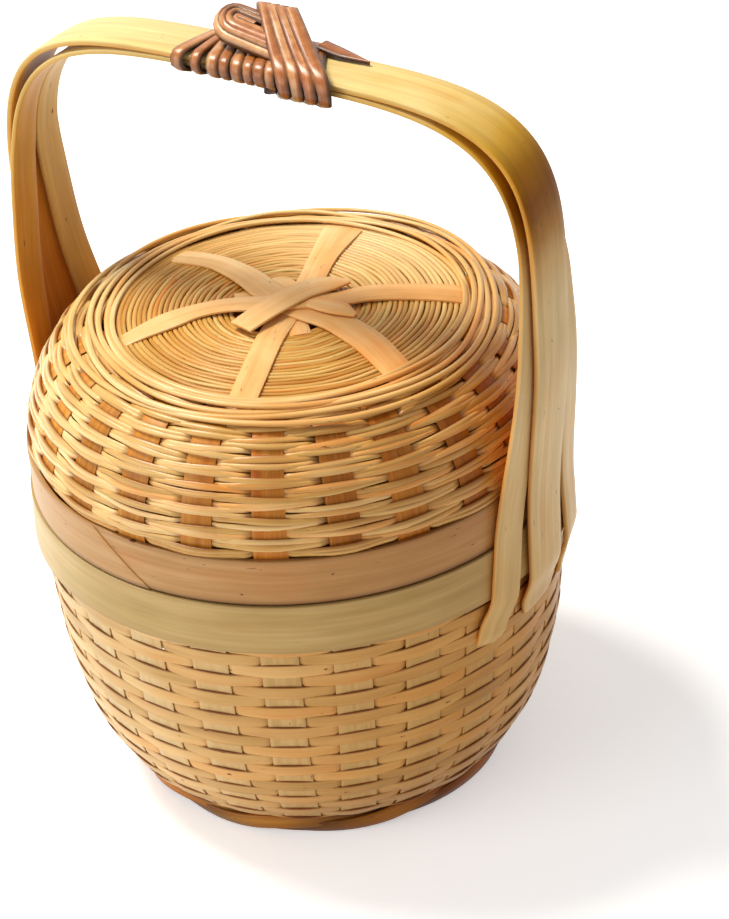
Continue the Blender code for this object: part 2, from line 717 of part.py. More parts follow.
def inner_leg_section(height, margin):
    """Inner-face middle, outward direction, width and thickness of an inner strip on the +X leg."""
    offset = splay_offset(height)
    width = splay_width(height)
    thickness = strip_thickness(height, INNER_STRIP_END_HEIGHT, INNER_STRIP_THICKNESS)
    reach = leg_reach(max(height, hoop_foot_height), inner_half_span)
    turned = smooth_step((SHOULDER_HEIGHT - height) / (SHOULDER_HEIGHT - SEAM_HEIGHT))
    angle = math.asin(offset / reach) * turned
    x = reach - GAP - width / 2.0 * math.sin(angle) - thickness * math.cos(angle)
    radius = math.hypot(x, offset)
    if height < SEAM_HEIGHT:
        share = (SEAM_HEIGHT - height) / BOWL_HOOP_HEIGHT
        clear = BOWL_HOOP_RADIUS + BOWL_HOOP_FLARE * min(share, 1.0) + 2.0 * GAP
        tucked = smooth_step((hoop_foot_height - height) / TUCK_DROP)
        radius = max(radius, clear)
        radius += (wall_radius(height) - STRIP_END_THICKNESS - radius) * tucked
    x = math.sqrt(radius * radius - offset * offset)
    outward = Vector((math.cos(angle), math.sin(angle), 0.0))
    face = Vector((x, offset, height)) - outward * margin
    return face, outward, width + 2.0 * margin, thickness + 2.0 * margin


def inner_strip_rings(side, margin):
    """Sections of one narrow inner strip; side is 1 for the +Y strip and -1 for the -Y one."""
    legs = []
    for hand in (1.0, -1.0):
        leg = []
        for height in leg_heights(INNER_STRIP_END_HEIGHT - margin):
            face, outward, width, thickness = inner_leg_section(height, margin)
            face = Vector((hand * face.x, side * face.y, face.z))
            outward = Vector((hand * outward.x, side * outward.y, 0.0))
            across = Vector((-outward.y, outward.x, 0.0)) * hand
            leg.append(flat_ring(face, across, outward, width, thickness))
        legs.append(leg)
    arch = []
    for step in range(ARCH_STEPS + 1):
        x, z, outward = arch_side(step / ARCH_STEPS, inner_half_span, INNER_ARCH_SQUARENESS)
        face = Vector((x, 0.0, z)) - outward * (GAP + INNER_STRIP_THICKNESS + margin)
        face.y = side * splay_offset(z)
        width, thickness = splay_width(z) + 2.0 * margin, INNER_STRIP_THICKNESS + 2.0 * margin
        arch.append(flat_ring(face, SIDE, outward, width, thickness))
    return legs[0] + arch + legs[1][::-1]


def handle_strip_rings(margin):
    """Sections of the handle's three strips, with a margin all round."""
    return [outer_strip_rings(margin), inner_strip_rings(-1.0, margin), inner_strip_rings(1.0, margin)]


def build_handle(bamboo):
    """The three bent strips of the handle."""
    names = ("handle_outer_strip", "handle_inner_strip_front", "handle_inner_strip_back")
    for name, rings in zip(names, handle_strip_rings(0.0)):
        add_solid(name, rings, bamboo)


def handle_middle_height(x):
    """Height of the middle of the handle's stacked strips near the top of the arch."""
    power = OUTER_ARCH_SQUARENESS
    share = (1.0 - abs(x / outer_half_span) ** power) ** (1.0 / power)
    inner_face = SHOULDER_HEIGHT + arch_rise * share
    return inner_face + OUTER_STRIP_THICKNESS - handle_stack / 2.0


def stadium(turn, half_length, radius):
    """Point and outward direction on a stadium outline, a whole turn counting as one."""
    straight = 2.0 * half_length
    bend = math.pi * radius
    run = (turn % 1.0) * 2.0 * (straight + bend)
    flip = 1.0
    if run >= straight + bend:
        run -= straight + bend
        flip = -1.0
    if run < straight:
        return flip * (half_length - run), flip * radius, 0.0, flip
    angle = (run - straight) / radius
    side, rise = -math.sin(angle), math.cos(angle)
    return flip * (radius * side - half_length), flip * radius * rise, flip * side, flip * rise


def strand_rings(points, normals):
    """Sections of a rattan strand that lies flat along a run of points."""
    rings = []
    for index, (point, outward) in enumerate(zip(points, normals)):
        before = points[max(index - 1, 0)]
        after = points[min(index + 1, len(points) - 1)]
        across = outward.cross(after - before).normalized()
        rings.append(strand_ring(point, across, outward, STRAND_WIDTH, STRAND_THICKNESS))
    return rings


def report_gap(name, rings):
    """Print the least gap between the turns of one winding, measured on its sections' points."""
    apart = POINTS_PER_TURN // 2
    count = len(rings)
    cloud = np.array([[tuple(point) for point in ring] for ring in rings])
    least = min(
        np.linalg.norm(cloud[index][:, None, None] - cloud[None, index + apart:], axis=-1).min()
        for index in range(count - apart)
    )
    print(f"{name}: least gap between turns {least / MM:.2f} mm")


def wrap_path(start, turns, pitch, slant, lift):
    """Points and outward directions of turns round the handle, slanted across it."""
    half_height = handle_stack / 2.0
    half_length = OUTER_STRIP_WIDTH / 2.0 - WRAP_CORNER_INSET
    radius = math.hypot(WRAP_CORNER_INSET, half_height) + GAP + STRAND_THICKNESS / 2.0 + lift
    points, normals = [], []
    for step in range(turns * POINTS_PER_TURN + 1):
        turn = step / POINTS_PER_TURN
        y, rise, out_y, out_z = stadium(turn, half_length, radius)
        x = start + pitch * turn - slant * y / (2.0 * (half_length + radius))
        points.append(Vector((x, y, handle_middle_height(x) + rise)))
        normals.append(Vector((0.0, out_y, out_z)))
    return points, normals, radius


def build_winding(rattan):
    """The rattan at the top of the handle: the wrap, the slanted band, the loop and the tail."""
    points, normals, wrap_radius = wrap_path(WRAP_START, WRAP_TURNS, WRAP_PITCH, 0.0, 0.0)
    wrap = strand_rings(points, normals)
    report_gap("rattan_wrap", wrap)
    add_solid("rattan_wrap", wrap, rattan)
    lift = STRAND_THICKNESS + STRAND_GAP
    points, normals, _ = wrap_path(BAND_START, BAND_TURNS, BAND_PITCH, BAND_SLANT, lift)
    band = strand_rings(points, normals)
    report_gap("rattan_band", band)
    add_solid("rattan_band", band, rattan)
    build_loop(wrap_radius, rattan)
    build_tail(rattan)


def build_loop(wrap_radius, rattan):
    """The flat bundle of loops that lies on top of the wrap, its turns side by side across the handle."""
    radius = LOOP_HEIGHT / 2.0
    half_length = LOOP_LENGTH / 2.0 - radius
    middle = LOOP_START + LOOP_LENGTH / 2.0
    seat = handle_middle_height(0.0) + wrap_radius + STRAND_THICKNESS + STRAND_GAP
    points, normals = [], []
    for step in range(LOOP_TURNS * POINTS_PER_TURN + 1):
        turn = step / POINTS_PER_TURN
        reach, rise, out_x, out_z = stadium(turn, half_length, radius)
        y = LOOP_PITCH * (turn - LOOP_TURNS / 2.0)
        points.append(Vector((middle + reach, y, seat + radius + rise)))
        normals.append(Vector((out_x, 0.0, out_z)))
    rings = strand_rings(points, normals)
    report_gap("rattan_loop", rings)
    add_solid("rattan_loop", rings, rattan)


def build_tail(rattan):
    """The cut end of the rattan, which lies on the handle beyond the band and narrows to a tip."""
    top = handle_middle_height(TAIL_START) + handle_stack / 2.0
    rings = []
    for share, width in ((0.0, TAIL_WIDTH), (1.0, TAIL_TIP_WIDTH)):
        face = Vector((TAIL_START + TAIL_LENGTH * share, TAIL_OFFSET, top + GAP))
        rings.append(flat_ring(face, SIDE, UP, width, STRAND_THICKNESS))
    add_solid("rattan_tail", rings, rattan)


clear_scene()
bamboo_strip = finish_material("bamboo strip", (0.74, 0.50, 0.23), 0.45)
bamboo_weft = finish_material("bamboo weft", (0.80, 0.56, 0.25), 0.5)
rattan_strand = finish_material("rattan strand", (0.33, 0.13, 0.045), 0.35)
build_foot(bamboo_strip)
build_bowl(bamboo_strip, bamboo_weft)
build_lid(bamboo_strip, bamboo_weft)
build_handle(bamboo_strip)
build_winding(rattan_strand)
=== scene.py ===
import math
import random

import bpy
import numpy as np
from mathutils import Matrix, Vector


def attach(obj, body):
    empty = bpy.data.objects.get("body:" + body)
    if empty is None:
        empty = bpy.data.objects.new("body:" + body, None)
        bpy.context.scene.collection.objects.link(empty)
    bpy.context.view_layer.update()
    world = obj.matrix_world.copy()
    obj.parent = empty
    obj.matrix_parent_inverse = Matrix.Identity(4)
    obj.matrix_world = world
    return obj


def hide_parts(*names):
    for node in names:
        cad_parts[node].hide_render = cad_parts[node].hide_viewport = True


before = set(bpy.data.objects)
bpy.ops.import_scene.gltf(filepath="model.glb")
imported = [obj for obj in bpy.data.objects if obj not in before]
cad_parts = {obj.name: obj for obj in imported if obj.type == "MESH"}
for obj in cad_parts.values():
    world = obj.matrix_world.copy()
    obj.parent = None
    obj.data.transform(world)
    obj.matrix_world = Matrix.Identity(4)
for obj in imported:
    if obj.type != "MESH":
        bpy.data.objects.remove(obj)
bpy.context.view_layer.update()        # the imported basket: bodies "basket" and "lid", joined by the joint lid_lift
MM = 0.001
hand = random.Random(24)  # the maker's hand: every small unevenness is drawn from here, in order

# ---- Camera, floor and studio light ----
# The photograph looks down on the basket by a third of a right angle through a long lens,
# a little rolled. A large soft lamp stands at the upper left behind the basket.
LOOK_AT = Vector((15.8, 10.5, 95.2)) * MM
TURN, TILT, ROLL = math.radians(33.5), math.radians(33.05), math.radians(-4.3)
DISTANCE = 841.0 * MM
LENS = 109.7

ahead = Vector((-math.sin(TURN) * math.cos(TILT), math.cos(TURN) * math.cos(TILT), -math.sin(TILT)))
level = Vector((math.cos(TURN), math.sin(TURN), 0.0))
upward = level.cross(ahead)
across_view = level * math.cos(ROLL) + upward * math.sin(ROLL)
up_view = upward * math.cos(ROLL) - level * math.sin(ROLL)
bpy.ops.object.camera_add(location=LOOK_AT - ahead * DISTANCE)
camera = bpy.context.object
camera.rotation_euler = Matrix((across_view, up_view, -ahead)).transposed().to_euler()
camera.data.lens = LENS
camera.data.sensor_width = 36.0
camera.data.clip_start, camera.data.clip_end = 0.01, 50.0
bpy.context.scene.camera = camera
bpy.context.scene.view_settings.view_transform = "Standard"


def to_linear(hex_colour):
    """An sRGB hex colour as the linear colour that Blender's sockets take."""
    parts = [int(hex_colour[at:at + 2], 16) / 255.0 for at in (1, 3, 5)]
    return tuple(p / 12.92 if p <= 0.04045 else ((p + 0.055) / 1.055) ** 2.4 for p in parts) + (1.0,)


def add_node(tree, kind, settings=None, sockets=None, links=None, stops=None):
    """Add a node with its settings, socket values, links and, for a colour ramp, its stops."""
    made = tree.nodes.new(kind)
    for name, value in (settings or {}).items():
        setattr(made, name, value)
    for socket, value in (sockets or {}).items():
        made.inputs[socket].default_value = value
    for socket, source in (links or {}).items():
        tree.links.new(source, made.inputs[socket])
    for number, (place, colour) in enumerate(stops or ()):
        marks = made.color_ramp.elements
        mark = marks[number] if number < 2 else marks.new(place)
        mark.position, mark.color = place, colour
    return made


def add_lamp(name, away, size, watts, colour):
    """A square soft lamp that faces the basket."""
    place = LOOK_AT + Vector(away)
    bpy.ops.object.light_add(type="AREA", location=place)
    lamp = bpy.context.object
    lamp.name = name
    lamp.rotation_euler = Vector(away).to_track_quat("Z", "Y").to_euler()
    lamp.data.shape = "DISK"
    lamp.data.size = size
    lamp.data.energy = watts
    lamp.data.color = to_linear(colour)[:3]


toward = Vector((-ahead.x, -ahead.y, 0.0)).normalized()
add_lamp("key_softbox", level * -0.54 + toward * -0.30 + Vector((0, 0, 1.20)), 0.45, 19.5, "#FFFAF0")
add_lamp("front_reflector", level * -1.10 + toward * 0.55 + Vector((0, 0, 0.40)), 0.9, 6.0, "#FFFFFF")

room = bpy.data.worlds.new("white_room")
bpy.context.scene.world = room
room.use_nodes = True
tree = room.node_tree
tree.nodes.clear()
rays = add_node(tree, "ShaderNodeLightPath")
seen = add_node(tree, "ShaderNodeMath", {"operation": "MAXIMUM"}, links={
    0: rays.outputs["Is Camera Ray"], 1: rays.outputs["Is Glossy Ray"]})
seen = add_node(tree, "ShaderNodeMath", {"operation": "MAXIMUM"}, links={
    0: seen.outputs[0], 1: rays.outputs["Is Transmission Ray"]})
power = add_node(tree, "ShaderNodeMapRange", sockets={"To Min": 0.33, "To Max": 1.0}, links={"Value": seen.outputs[0]})
sky = add_node(tree, "ShaderNodeBackground", sockets={"Color": to_linear("#FFFFFF")}, links={
    "Strength": power.outputs[0]})
add_node(tree, "ShaderNodeOutputWorld", links={"Surface": sky.outputs[0]})

bpy.ops.object.select_all(action="DESELECT")
bpy.ops.mesh.primitive_plane_add(size=12.0)
floor = bpy.context.object
floor.name = "studio_floor"
paper = bpy.data.materials.new("matt white paper sweep")
paper.use_nodes = True
tree = paper.node_tree
tree.nodes.clear()
rays = add_node(tree, "ShaderNodeLightPath")
seen = add_node(tree, "ShaderNodeMath", {"operation": "MAXIMUM"}, links={
    0: rays.outputs["Is Camera Ray"], 1: rays.outputs["Is Glossy Ray"]})
lift = add_node(tree, "ShaderNodeMath", {"operation": "MULTIPLY"}, sockets={1: 0.46}, links={0: seen.outputs[0]})
matt = add_node(tree, "ShaderNodeBsdfDiffuse", sockets={"Color": to_linear("#FAFAFB")})
glow = add_node(tree, "ShaderNodeEmission", sockets={"Color": to_linear("#FFFFFF")}, links={
    "Strength": lift.outputs[0]})
both = add_node(tree, "ShaderNodeAddShader", links={0: matt.outputs[0], 1: glow.outputs[0]})
add_node(tree, "ShaderNodeOutputMaterial", links={"Surface": both.outputs[0]})
floor.data.materials.append(paper)


# ---- Foot ring ----
# A hoop of split bamboo on which the basket stands, with long flat splints twined round it.
# The splints are shaved thin, wetted and twisted over each other while the hoop is held.
FOOT_RING_RADIUS = 57.9
FOOT_RING_MIDDLE = 4.0
FOOT_TWISTS = 5


def split_bamboo(name, fleck_and_shade, dark, mid, light, fibre=0.40, roughness=(0.36, 0.56), gloss=0.12, spots=0.70, patches=18.0,
                 unripe="#EEEEDC", ripe="#FBCF96", right_side_shade=1.0):
    """Bamboo split along its fibres: streaks run along the UV map's first direction. One strip is a little greener or
    more orange than the next, as its stalk was less or more ripe. The basket's right side, turned away from the lamp,
    is painted darker and more orange: painted shade. A per-point shade mark paints shade towards the fleck colour where
    a strand is hidden, lies in a crease or is on its shaded side."""
    made = bpy.data.materials.new(name)
    made.use_nodes = True
    tree = made.node_tree
    tree.nodes.clear()
    place = add_node(tree, "ShaderNodeUVMap", {"uv_map": "UVMap"})
    tone = add_node(tree, "ShaderNodeAttribute", {"attribute_name": "tone"})
    painted_shade = add_node(tree, "ShaderNodeAttribute", {"attribute_name": "painted_shade"})
    body = add_node(tree, "ShaderNodeTexCoord")
    page = add_node(tree, "ShaderNodeMath", {"operation": "MULTIPLY"}, sockets={1: 61.0}, links={0: tone.outputs["Fac"]})
    shift = add_node(tree, "ShaderNodeCombineXYZ", links={"Z": page.outputs[0]})
    values = []
    for along, across in ((30.0, fibre), (70.0, fibre * 4.0), (5.0, 1.1), (45.0, 9.0)):
        at = add_node(tree, "ShaderNodeVectorMath", {"operation": "MULTIPLY_ADD"}, sockets={
            1: (1000.0 / along, 1000.0 / across, 0.0)}, links={0: place.outputs[0], 2: shift.outputs[0]})
        values.append(add_node(tree, "ShaderNodeTexNoise", sockets={
            "Scale": 1.0, "Detail": 3.0, "Roughness": 0.55}, links={"Vector": at.outputs[0]}).outputs["Fac"])
    fine, broad, fleck, slow = values
    cloud = add_node(tree, "ShaderNodeTexNoise", sockets={
        "Scale": 1000.0 / patches, "Detail": 2.0}, links={"Vector": body.outputs["Object"]})
    streak = add_node(tree, "ShaderNodeMath", {"operation": "MULTIPLY_ADD"}, sockets={1: 0.55}, links={
        0: fine, 2: broad})
    streak = add_node(tree, "ShaderNodeMath", {"operation": "MULTIPLY_ADD"}, sockets={1: 0.50}, links={
        0: cloud.outputs["Fac"], 2: streak.outputs[0]})
    streak = add_node(tree, "ShaderNodeMath", {"operation": "MULTIPLY_ADD"}, sockets={1: 0.55}, links={
        0: tone.outputs["Fac"], 2: streak.outputs[0]})
    share = add_node(tree, "ShaderNodeMapRange", sockets={"From Min": 0.80, "From Max": 1.82}, links={
        "Value": streak.outputs[0]})
    grain = add_node(tree, "ShaderNodeValToRGB", links={"Fac": share.outputs[0]}, stops=(
        (0.0, to_linear(dark)), (1.0, to_linear(light)), (0.48, to_linear(mid))))
    ripeness = add_node(tree, "ShaderNodeMath", {"operation": "MULTIPLY_ADD"}, sockets={1: 0.20}, links={
        0: tone.outputs["Fac"], 2: slow})
    hue = add_node(tree, "ShaderNodeValToRGB", links={"Fac": ripeness.outputs[0]}, stops=(
        (0.34, to_linear(unripe)), (0.90, to_linear(ripe)), (0.60, to_linear("#FFFFFF"))))
    grown = add_node(tree, "ShaderNodeMix", {"data_type": "RGBA", "blend_type": "MULTIPLY"}, sockets={"Factor": 1.0}, links={
        "A": grain.outputs[0], "B": hue.outputs[0]})
    parts = add_node(tree, "ShaderNodeSeparateXYZ", links={0: body.outputs["Object"]})
    # Painted shade: the basket's right side (+X), away from the lamp, is multiplied towards a deep orange tan, as far
    # as the argument for it says
    right_side_share = add_node(tree, "ShaderNodeMapRange", sockets={"From Min": -0.04, "From Max": 0.09, "To Max": right_side_shade}, links={
        "Value": parts.outputs["X"]})
    right_side_shaded = add_node(tree, "ShaderNodeMix", {"data_type": "RGBA", "blend_type": "MULTIPLY"}, sockets={"B": to_linear("#EEC882")},
                      links={"Factor": right_side_share.outputs[0], "A": grown.outputs["Result"]})
    # Dark flecks that the bamboo really has, in the same colour that the painted shade below uses
    spot = add_node(tree, "ShaderNodeMapRange", sockets={"From Min": spots, "From Max": spots + 0.05}, links={
        "Value": fleck})
    spotted = add_node(tree, "ShaderNodeMix", {"data_type": "RGBA"}, sockets={"B": to_linear(fleck_and_shade)}, links={
        "Factor": spot.outputs[0], "A": right_side_shaded.outputs["Result"]})
    # Painted shade: where the per-point shade mark is high, the colour goes towards the fleck and shade colour
    with_painted_shade = add_node(tree, "ShaderNodeMix", {"data_type": "RGBA"}, sockets={"B": to_linear(fleck_and_shade)}, links={
        "Factor": painted_shade.outputs["Fac"], "A": spotted.outputs["Result"]})
    rough = add_node(tree, "ShaderNodeMapRange", sockets={"To Min": roughness[0], "To Max": roughness[1]}, links={
        "Value": broad})
    relief = add_node(tree, "ShaderNodeBump", sockets={"Strength": 0.35, "Distance": 0.12 * MM}, links={"Height": fine})
    shader = add_node(tree, "ShaderNodeBsdfPrincipled", sockets={
        "IOR": 1.48, "Specular IOR Level": 0.22, "Coat Weight": gloss, "Coat Roughness": 0.28}, links={
        "Base Color": with_painted_shade.outputs["Result"], "Roughness": rough.outputs[0], "Normal": relief.outputs[0]})
    add_node(tree, "ShaderNodeOutputMaterial", links={"Surface": shader.outputs[0]})
    return made


# Shaved bamboo splint: a darker tan than the wefts, partly its own colour and partly painted shade for the shadow under
# the bowl; its fibres drawn as streaks 0.4 mm wide
foot_splint = split_bamboo("split bamboo, foot splints", "#321502", "#804C0E", "#AE7426", "#D29C46")


def mark_points(mesh, name, values):
    """Store one number for each point of a mesh, for its material to read."""
    marks = mesh.attributes.get(name) or mesh.attributes.new(name, "FLOAT", "POINT")
    marks.data.foreach_set("value", values)


def ease_step(share):
    """Ease from 0 to 1."""
    held = min(max(share, 0.0), 1.0)
    return held * held * (3.0 - 2.0 * held)


def wind_ring(name, middle, width, thickness, tone, steps=192, sides=8, square=0.6, angles=None):
    """A closed strand round the Z axis, in mm: a torus whose sections follow middle(angle), which gives reach, height,
    the outward direction, how much painted shade it gets where it is hidden, how wide it is and how much painted shade
    darkens its upper edge."""
    bpy.ops.object.select_all(action="DESELECT")
    bpy.ops.mesh.primitive_torus_add(major_segments=steps, minor_segments=sides, major_radius=1.0, minor_radius=0.1)
    ring = bpy.context.object
    ring.name = ring.data.name = name
    points, painted_shades, run = [], [], [0.0]
    angles = angles or [2.0 * math.pi * step / steps for step in range(steps)]
    for angle, after in zip(angles, angles[1:] + [angles[0] + 2.0 * math.pi]):
        reach, height, out, up, hidden_shade, swell, edge_shade = middle(angle)
        run.append(run[-1] + reach * (after - angle))
        for side in range(sides):
            round_ = 2.0 * math.pi * side / sides
            lift = math.copysign(abs(math.cos(round_)) ** square, math.cos(round_)) * thickness / 2.0
            over = math.copysign(abs(math.sin(round_)) ** square, math.sin(round_)) * width * swell / 2.0
            r = reach + out * lift - up * over
            points += [r * math.cos(angle) * MM, r * math.sin(angle) * MM, (height + up * lift + out * over) * MM]
            # Painted shade: darker where hidden, on the strand's inner side and along its upper edge, stored for the
            # material
            shade = hidden_shade + (0.25 if math.cos(round_) < -0.1 else 0.0) + edge_shade * ease_step((math.sin(round_) - 0.5) / 0.4)
            painted_shades.append(min(1.0, max(0.0, shade)))
    ring.data.vertices.foreach_set("co", points)
    chart = ring.data.uv_layers[0]
    chart.name = "UVMap"
    for loop in chart.data:
        loop.uv = (run[round(loop.uv[0] * steps)] * MM, loop.uv[1] * 2.0 * (width + thickness) * MM)
    mark_points(ring.data, "tone", [tone] * len(ring.data.vertices))
    mark_points(ring.data, "painted_shade", painted_shades)
    bpy.ops.object.shade_smooth()
    return ring


def join_as(name, parts, finish, body, slot, *nodes):
    """Make one piece of several strands, name it, give it its finish, attach it to the body it rides on and hide the
    model's parts that it stands for.
    """
    bpy.ops.object.select_all(action="DESELECT")
    for part in parts:
        part.select_set(True)
    bpy.context.view_layer.objects.active = parts[0]
    if len(parts) > 1:
        bpy.ops.object.join()
    piece = parts[0]
    piece.name = piece.data.name = name
    piece.data.materials.clear()
    piece.data.materials.append(finish)
    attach(piece, body)
    if nodes:
        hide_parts(*nodes)
    return piece


def foot_strand(phase, rise, weave):
    """Middle of a splint that twines round the foot's hoop."""
    wander = hand.uniform(0.0, 6.28)

    def middle(angle):
        turn = FOOT_TWISTS * angle + phase + 0.3 * math.sin(3.0 * angle + wander)
        out, up = math.cos(turn), math.sin(turn)
        lean = 0.22 * up
        # Painted shade: the splint is darker where it runs on the hoop's inner side and underneath, with a shade line
        # on its upper edge there
        return (FOOT_RING_RADIUS + weave * out, FOOT_RING_MIDDLE + rise * up, math.cos(lean), math.sin(lean),
                0.30 - 0.30 * out + 0.3 * max(0.0, -up), 1.0 - 0.12 * abs(up), 0.6 * max(0.0, -out))
    return middle


for number, phase in ((1, 0.4), (2, 0.4 + math.pi)):
    strand = wind_ring("splint", foot_strand(phase, 1.25, 0.85), 5.3, 1.5, hand.random(), steps=240)
    join_as(f"foot_splint_{number}", [strand], foot_splint, "basket", "bamboo_weft", f"foot_strand_{number}")


def smooth_line(corners, count):
    """Evenly spaced points on a smooth curve through the corners, which may have any number of columns."""
    given = np.array(corners, float)
    ends = np.vstack([2.0 * given[0] - given[1], given, 2.0 * given[-1] - given[-2]])
    dense = []
    for before, start, stop, after in zip(ends, ends[1:], ends[2:], ends[3:]):
        for t in np.linspace(0.0, 1.0, 24, endpoint=False):
            dense.append(0.5 * (2.0 * start + (stop - before) * t + (2.0 * before - 5.0 * start + 4.0 * stop - after) * t ** 2
                                + (3.0 * start - before - 3.0 * stop + after) * t ** 3))
    dense = np.array(dense + [given[-1]])
    run = np.concatenate([[0.0], np.cumsum(np.linalg.norm(np.diff(dense[:, :3], axis=0), axis=1))])
    even = np.linspace(0.0, run[-1], count)
    return np.stack([np.interp(even, run, column) for column in dense.T], axis=1), run[-1]


def lay_strip(name, place, steps, lanes, length, width, thickness, tone, ease=0.25, thin=None, painted_shade=None):
    """A flat strip, in mm: a grid whose points go to place(share along, -1 to 1 across), which is its outer face,
    thickened inwards, its edges eased. thin gives the thickness as a share of the full one. Where the shade function
    gives how much painted shade darkens a place, the lanes are narrower towards the edges. A further mark is 1 on the
    inner side, which the handle's material colours as pith with painted shade."""
    bpy.ops.object.select_all(action="DESELECT")
    bpy.ops.mesh.primitive_grid_add(x_subdivisions=steps, y_subdivisions=lanes, size=2.0)
    strip = bpy.context.object
    strip.name = strip.data.name = name
    mesh = strip.data
    shares = [((point.co.x + 1.0) / 2.0, point.co.y) for point in mesh.vertices]
    if painted_shade:
        shares = [(share, math.copysign(1.0 - (1.0 - abs(side)) ** 2, side)) for share, side in shares]
    chart = mesh.uv_layers[0]
    chart.name = "UVMap"
    for loop, mark in zip(mesh.loops, chart.data):
        share, side = shares[loop.vertex_index]
        mark.uv = (share * length * MM, side * width / 2.0 * MM)
    for point, (share, side) in zip(mesh.vertices, shares):
        point.co = Vector(place(share, side)) * MM
    mark_points(mesh, "tone", [tone] * len(shares))
    mark_points(mesh, "painted_shade", [painted_shade(share, side) if painted_shade else 0.0 for share, side in shares])
    shell = strip.modifiers.new("thickness", "SOLIDIFY")
    shell.thickness = thickness * MM
    shell.offset = -1.0
    if thin:
        group = strip.vertex_groups.new(name="thin")
        for index, (share, side) in enumerate(shares):
            group.add([index], max(0.02, min(1.0, thin(share, side))), "REPLACE")
        shell.vertex_group = "thin"
    bpy.ops.object.modifier_apply(modifier=shell.name)
    mark_points(mesh, "pith_and_shade", [0.0] * len(shares) + [1.0] * (len(mesh.vertices) - len(shares)))
    if ease:
        edges = strip.modifiers.new("eased edges", "BEVEL")
        edges.width = ease * MM
        edges.segments = 2
        edges.angle_limit = math.radians(50.0)
        bpy.ops.object.modifier_apply(modifier=edges.name)
    bpy.ops.object.shade_smooth_by_angle(angle=math.radians(45.0))
    return strip


def hoop_face(radius, flare, foot, height, start, lap, slant=0.0):
    """Outer face of a strip bent round into a hoop, whose last stretch laps over its first; its end is cut
    slanting, further on at the lower edge."""
    turn = 360.0 + lap

    def place(share, side):
        up = (side + 1.0) / 2.0
        over = max(0.0, (share * turn - 360.0 + lap) / lap) if lap else 0.0
        angle = math.radians(start + turn * share + slant * (0.5 - up) * over)
        climb = 0.45 * min(1.0, over)
        reach = radius + flare * (1.0 - up) + climb
        return reach * math.cos(angle), reach * math.sin(angle), foot + height * up
    return place


def bend_hoop(name, radius, foot, height, thickness, start, lap, tone, flare=0.0, ease=0.3, slant=0.0, dark=(0.0, 0.0)):
    """A hoop of one flat strip, its two ends shaved thin where they lap. dark is how much painted shade darkens its
    lower and upper edges, where they meet the next hoop or the weave."""
    turn = 360.0 + lap
    reach = 2.0 * math.pi * radius * turn / 360.0

    def thin(share, side):
        if not lap:
            return 1.0
        return min(1.0, 0.3 + 0.7 * share * turn / lap, 0.3 + 0.7 * (1.0 - share) * turn / lap)

    # Painted shade along the hoop's edges: the shadow in the seams
    def edges(share, side):
        return dark[1 if side > 0.0 else 0] * max(0.0, (abs(side) - 0.86) / 0.14)
    return lay_strip(name, hoop_face(radius, flare, foot, height, start, lap, slant), int(turn / 2.5), 8, reach, height,
                     thickness, tone, ease, thin, edges)


hoop = bend_hoop("hoop", 56.8, 0.15, 7.7, 1.8, 120.0, 20.0, 0.3)
join_as("foot_ring", [hoop], foot_splint, "basket", "bamboo_strip", "foot_hoop")


# ---- Bowl: uprights, floor and woven wall ----
# Twenty-four flat uprights of pale split bamboo run out from under the floor and up the wall.
# Flat wefts are woven over one upright and under the next, each row against the one below.
STAKES = 24
BOWL_STAKE_START = -3.0
WALL_SHARES = ((0.0, 0.0), (0.19, 0.035), (0.38, 0.11), (0.58, 0.225), (0.75, 0.375), (0.86, 0.55), (0.935, 0.77), (1.0, 1.0))
BOWL_WEFT_WIDTH, BOWL_WEFT_THICKNESS = 4.1, 0.8
BOWL_ROW_PITCH = 3.92
BOWL_ROWS = 21
BOWL_LEVELS = (0.10, 0.60, 1.75)   # how far in a weft's middle lies over an upright, between two and behind one
UPRIGHT_LEVEL = 0.78

wall_line, wall_length = smooth_line([(59.5 + 19.7 * out, 8.3 + 76.9 * up, 0.0) for out, up in WALL_SHARES], 160)


def line_at(line, length, run):
    """Point and outward direction on an outline of (reach, height) points, at a run from its start."""
    at = min(max(run / length, 0.0), 1.0) * (len(line) - 1)
    index = min(int(at), len(line) - 2)
    point = line[index][:2] * (1.0 - (at - index)) + line[index + 1][:2] * (at - index)
    step = line[min(index + 2, len(line) - 1)][:2] - line[max(index - 1, 0)][:2]
    step = step / np.linalg.norm(step)
    return point[0], point[1], step[1], -step[0]


# Upright of the bowl: paler than the wefts, its face planed
pale_upright = split_bamboo("split bamboo, planed uprights", "#7A4A1E", "#C4A470", "#D8BE8C", "#E8D2A4", fibre=0.5,
                            ripe="#FBE6C4")
# Weft of the bowl: tan, dull where the skin was scraped off
bowl_weft = split_bamboo("split bamboo, bowl wefts", "#7A3F12", "#C29A5C", "#DCB67A", "#ECD098", unripe="#EAEADA",
                         ripe="#FAE0B6")

stake_path = [(42.0, 8.45, 0.0), (48.0, 8.45, 0.0), (54.5, 8.6, 0.0)]
for run in np.linspace(3.5, wall_length, 12):
    reach, height, out, up = line_at(wall_line, wall_length, run)
    stake_path.append((reach - out * UPRIGHT_LEVEL, height - up * UPRIGHT_LEVEL, 0.0))
stake_path.append((78.3, 92.0, 0.0))
stake_line, stake_length = smooth_line(stake_path, 60)


def stake_face(line, azimuth, width, narrow=1.0):
    """Outer face of an upright that follows a line in the plane of its azimuth."""
    angle = math.radians(azimuth)
    side_way = (-math.sin(angle), math.cos(angle))

    def place(share, side):
        reach, height, out, up = line_at(line, 1.0, share)
        half = side * width / 2.0 * (1.0 + (narrow - 1.0) * share)
        bow = -0.12 * side * side
        r = reach + out * bow
        return (r * math.cos(angle) + side_way[0] * half, r * math.sin(angle) + side_way[1] * half, height + up * bow)
    return place


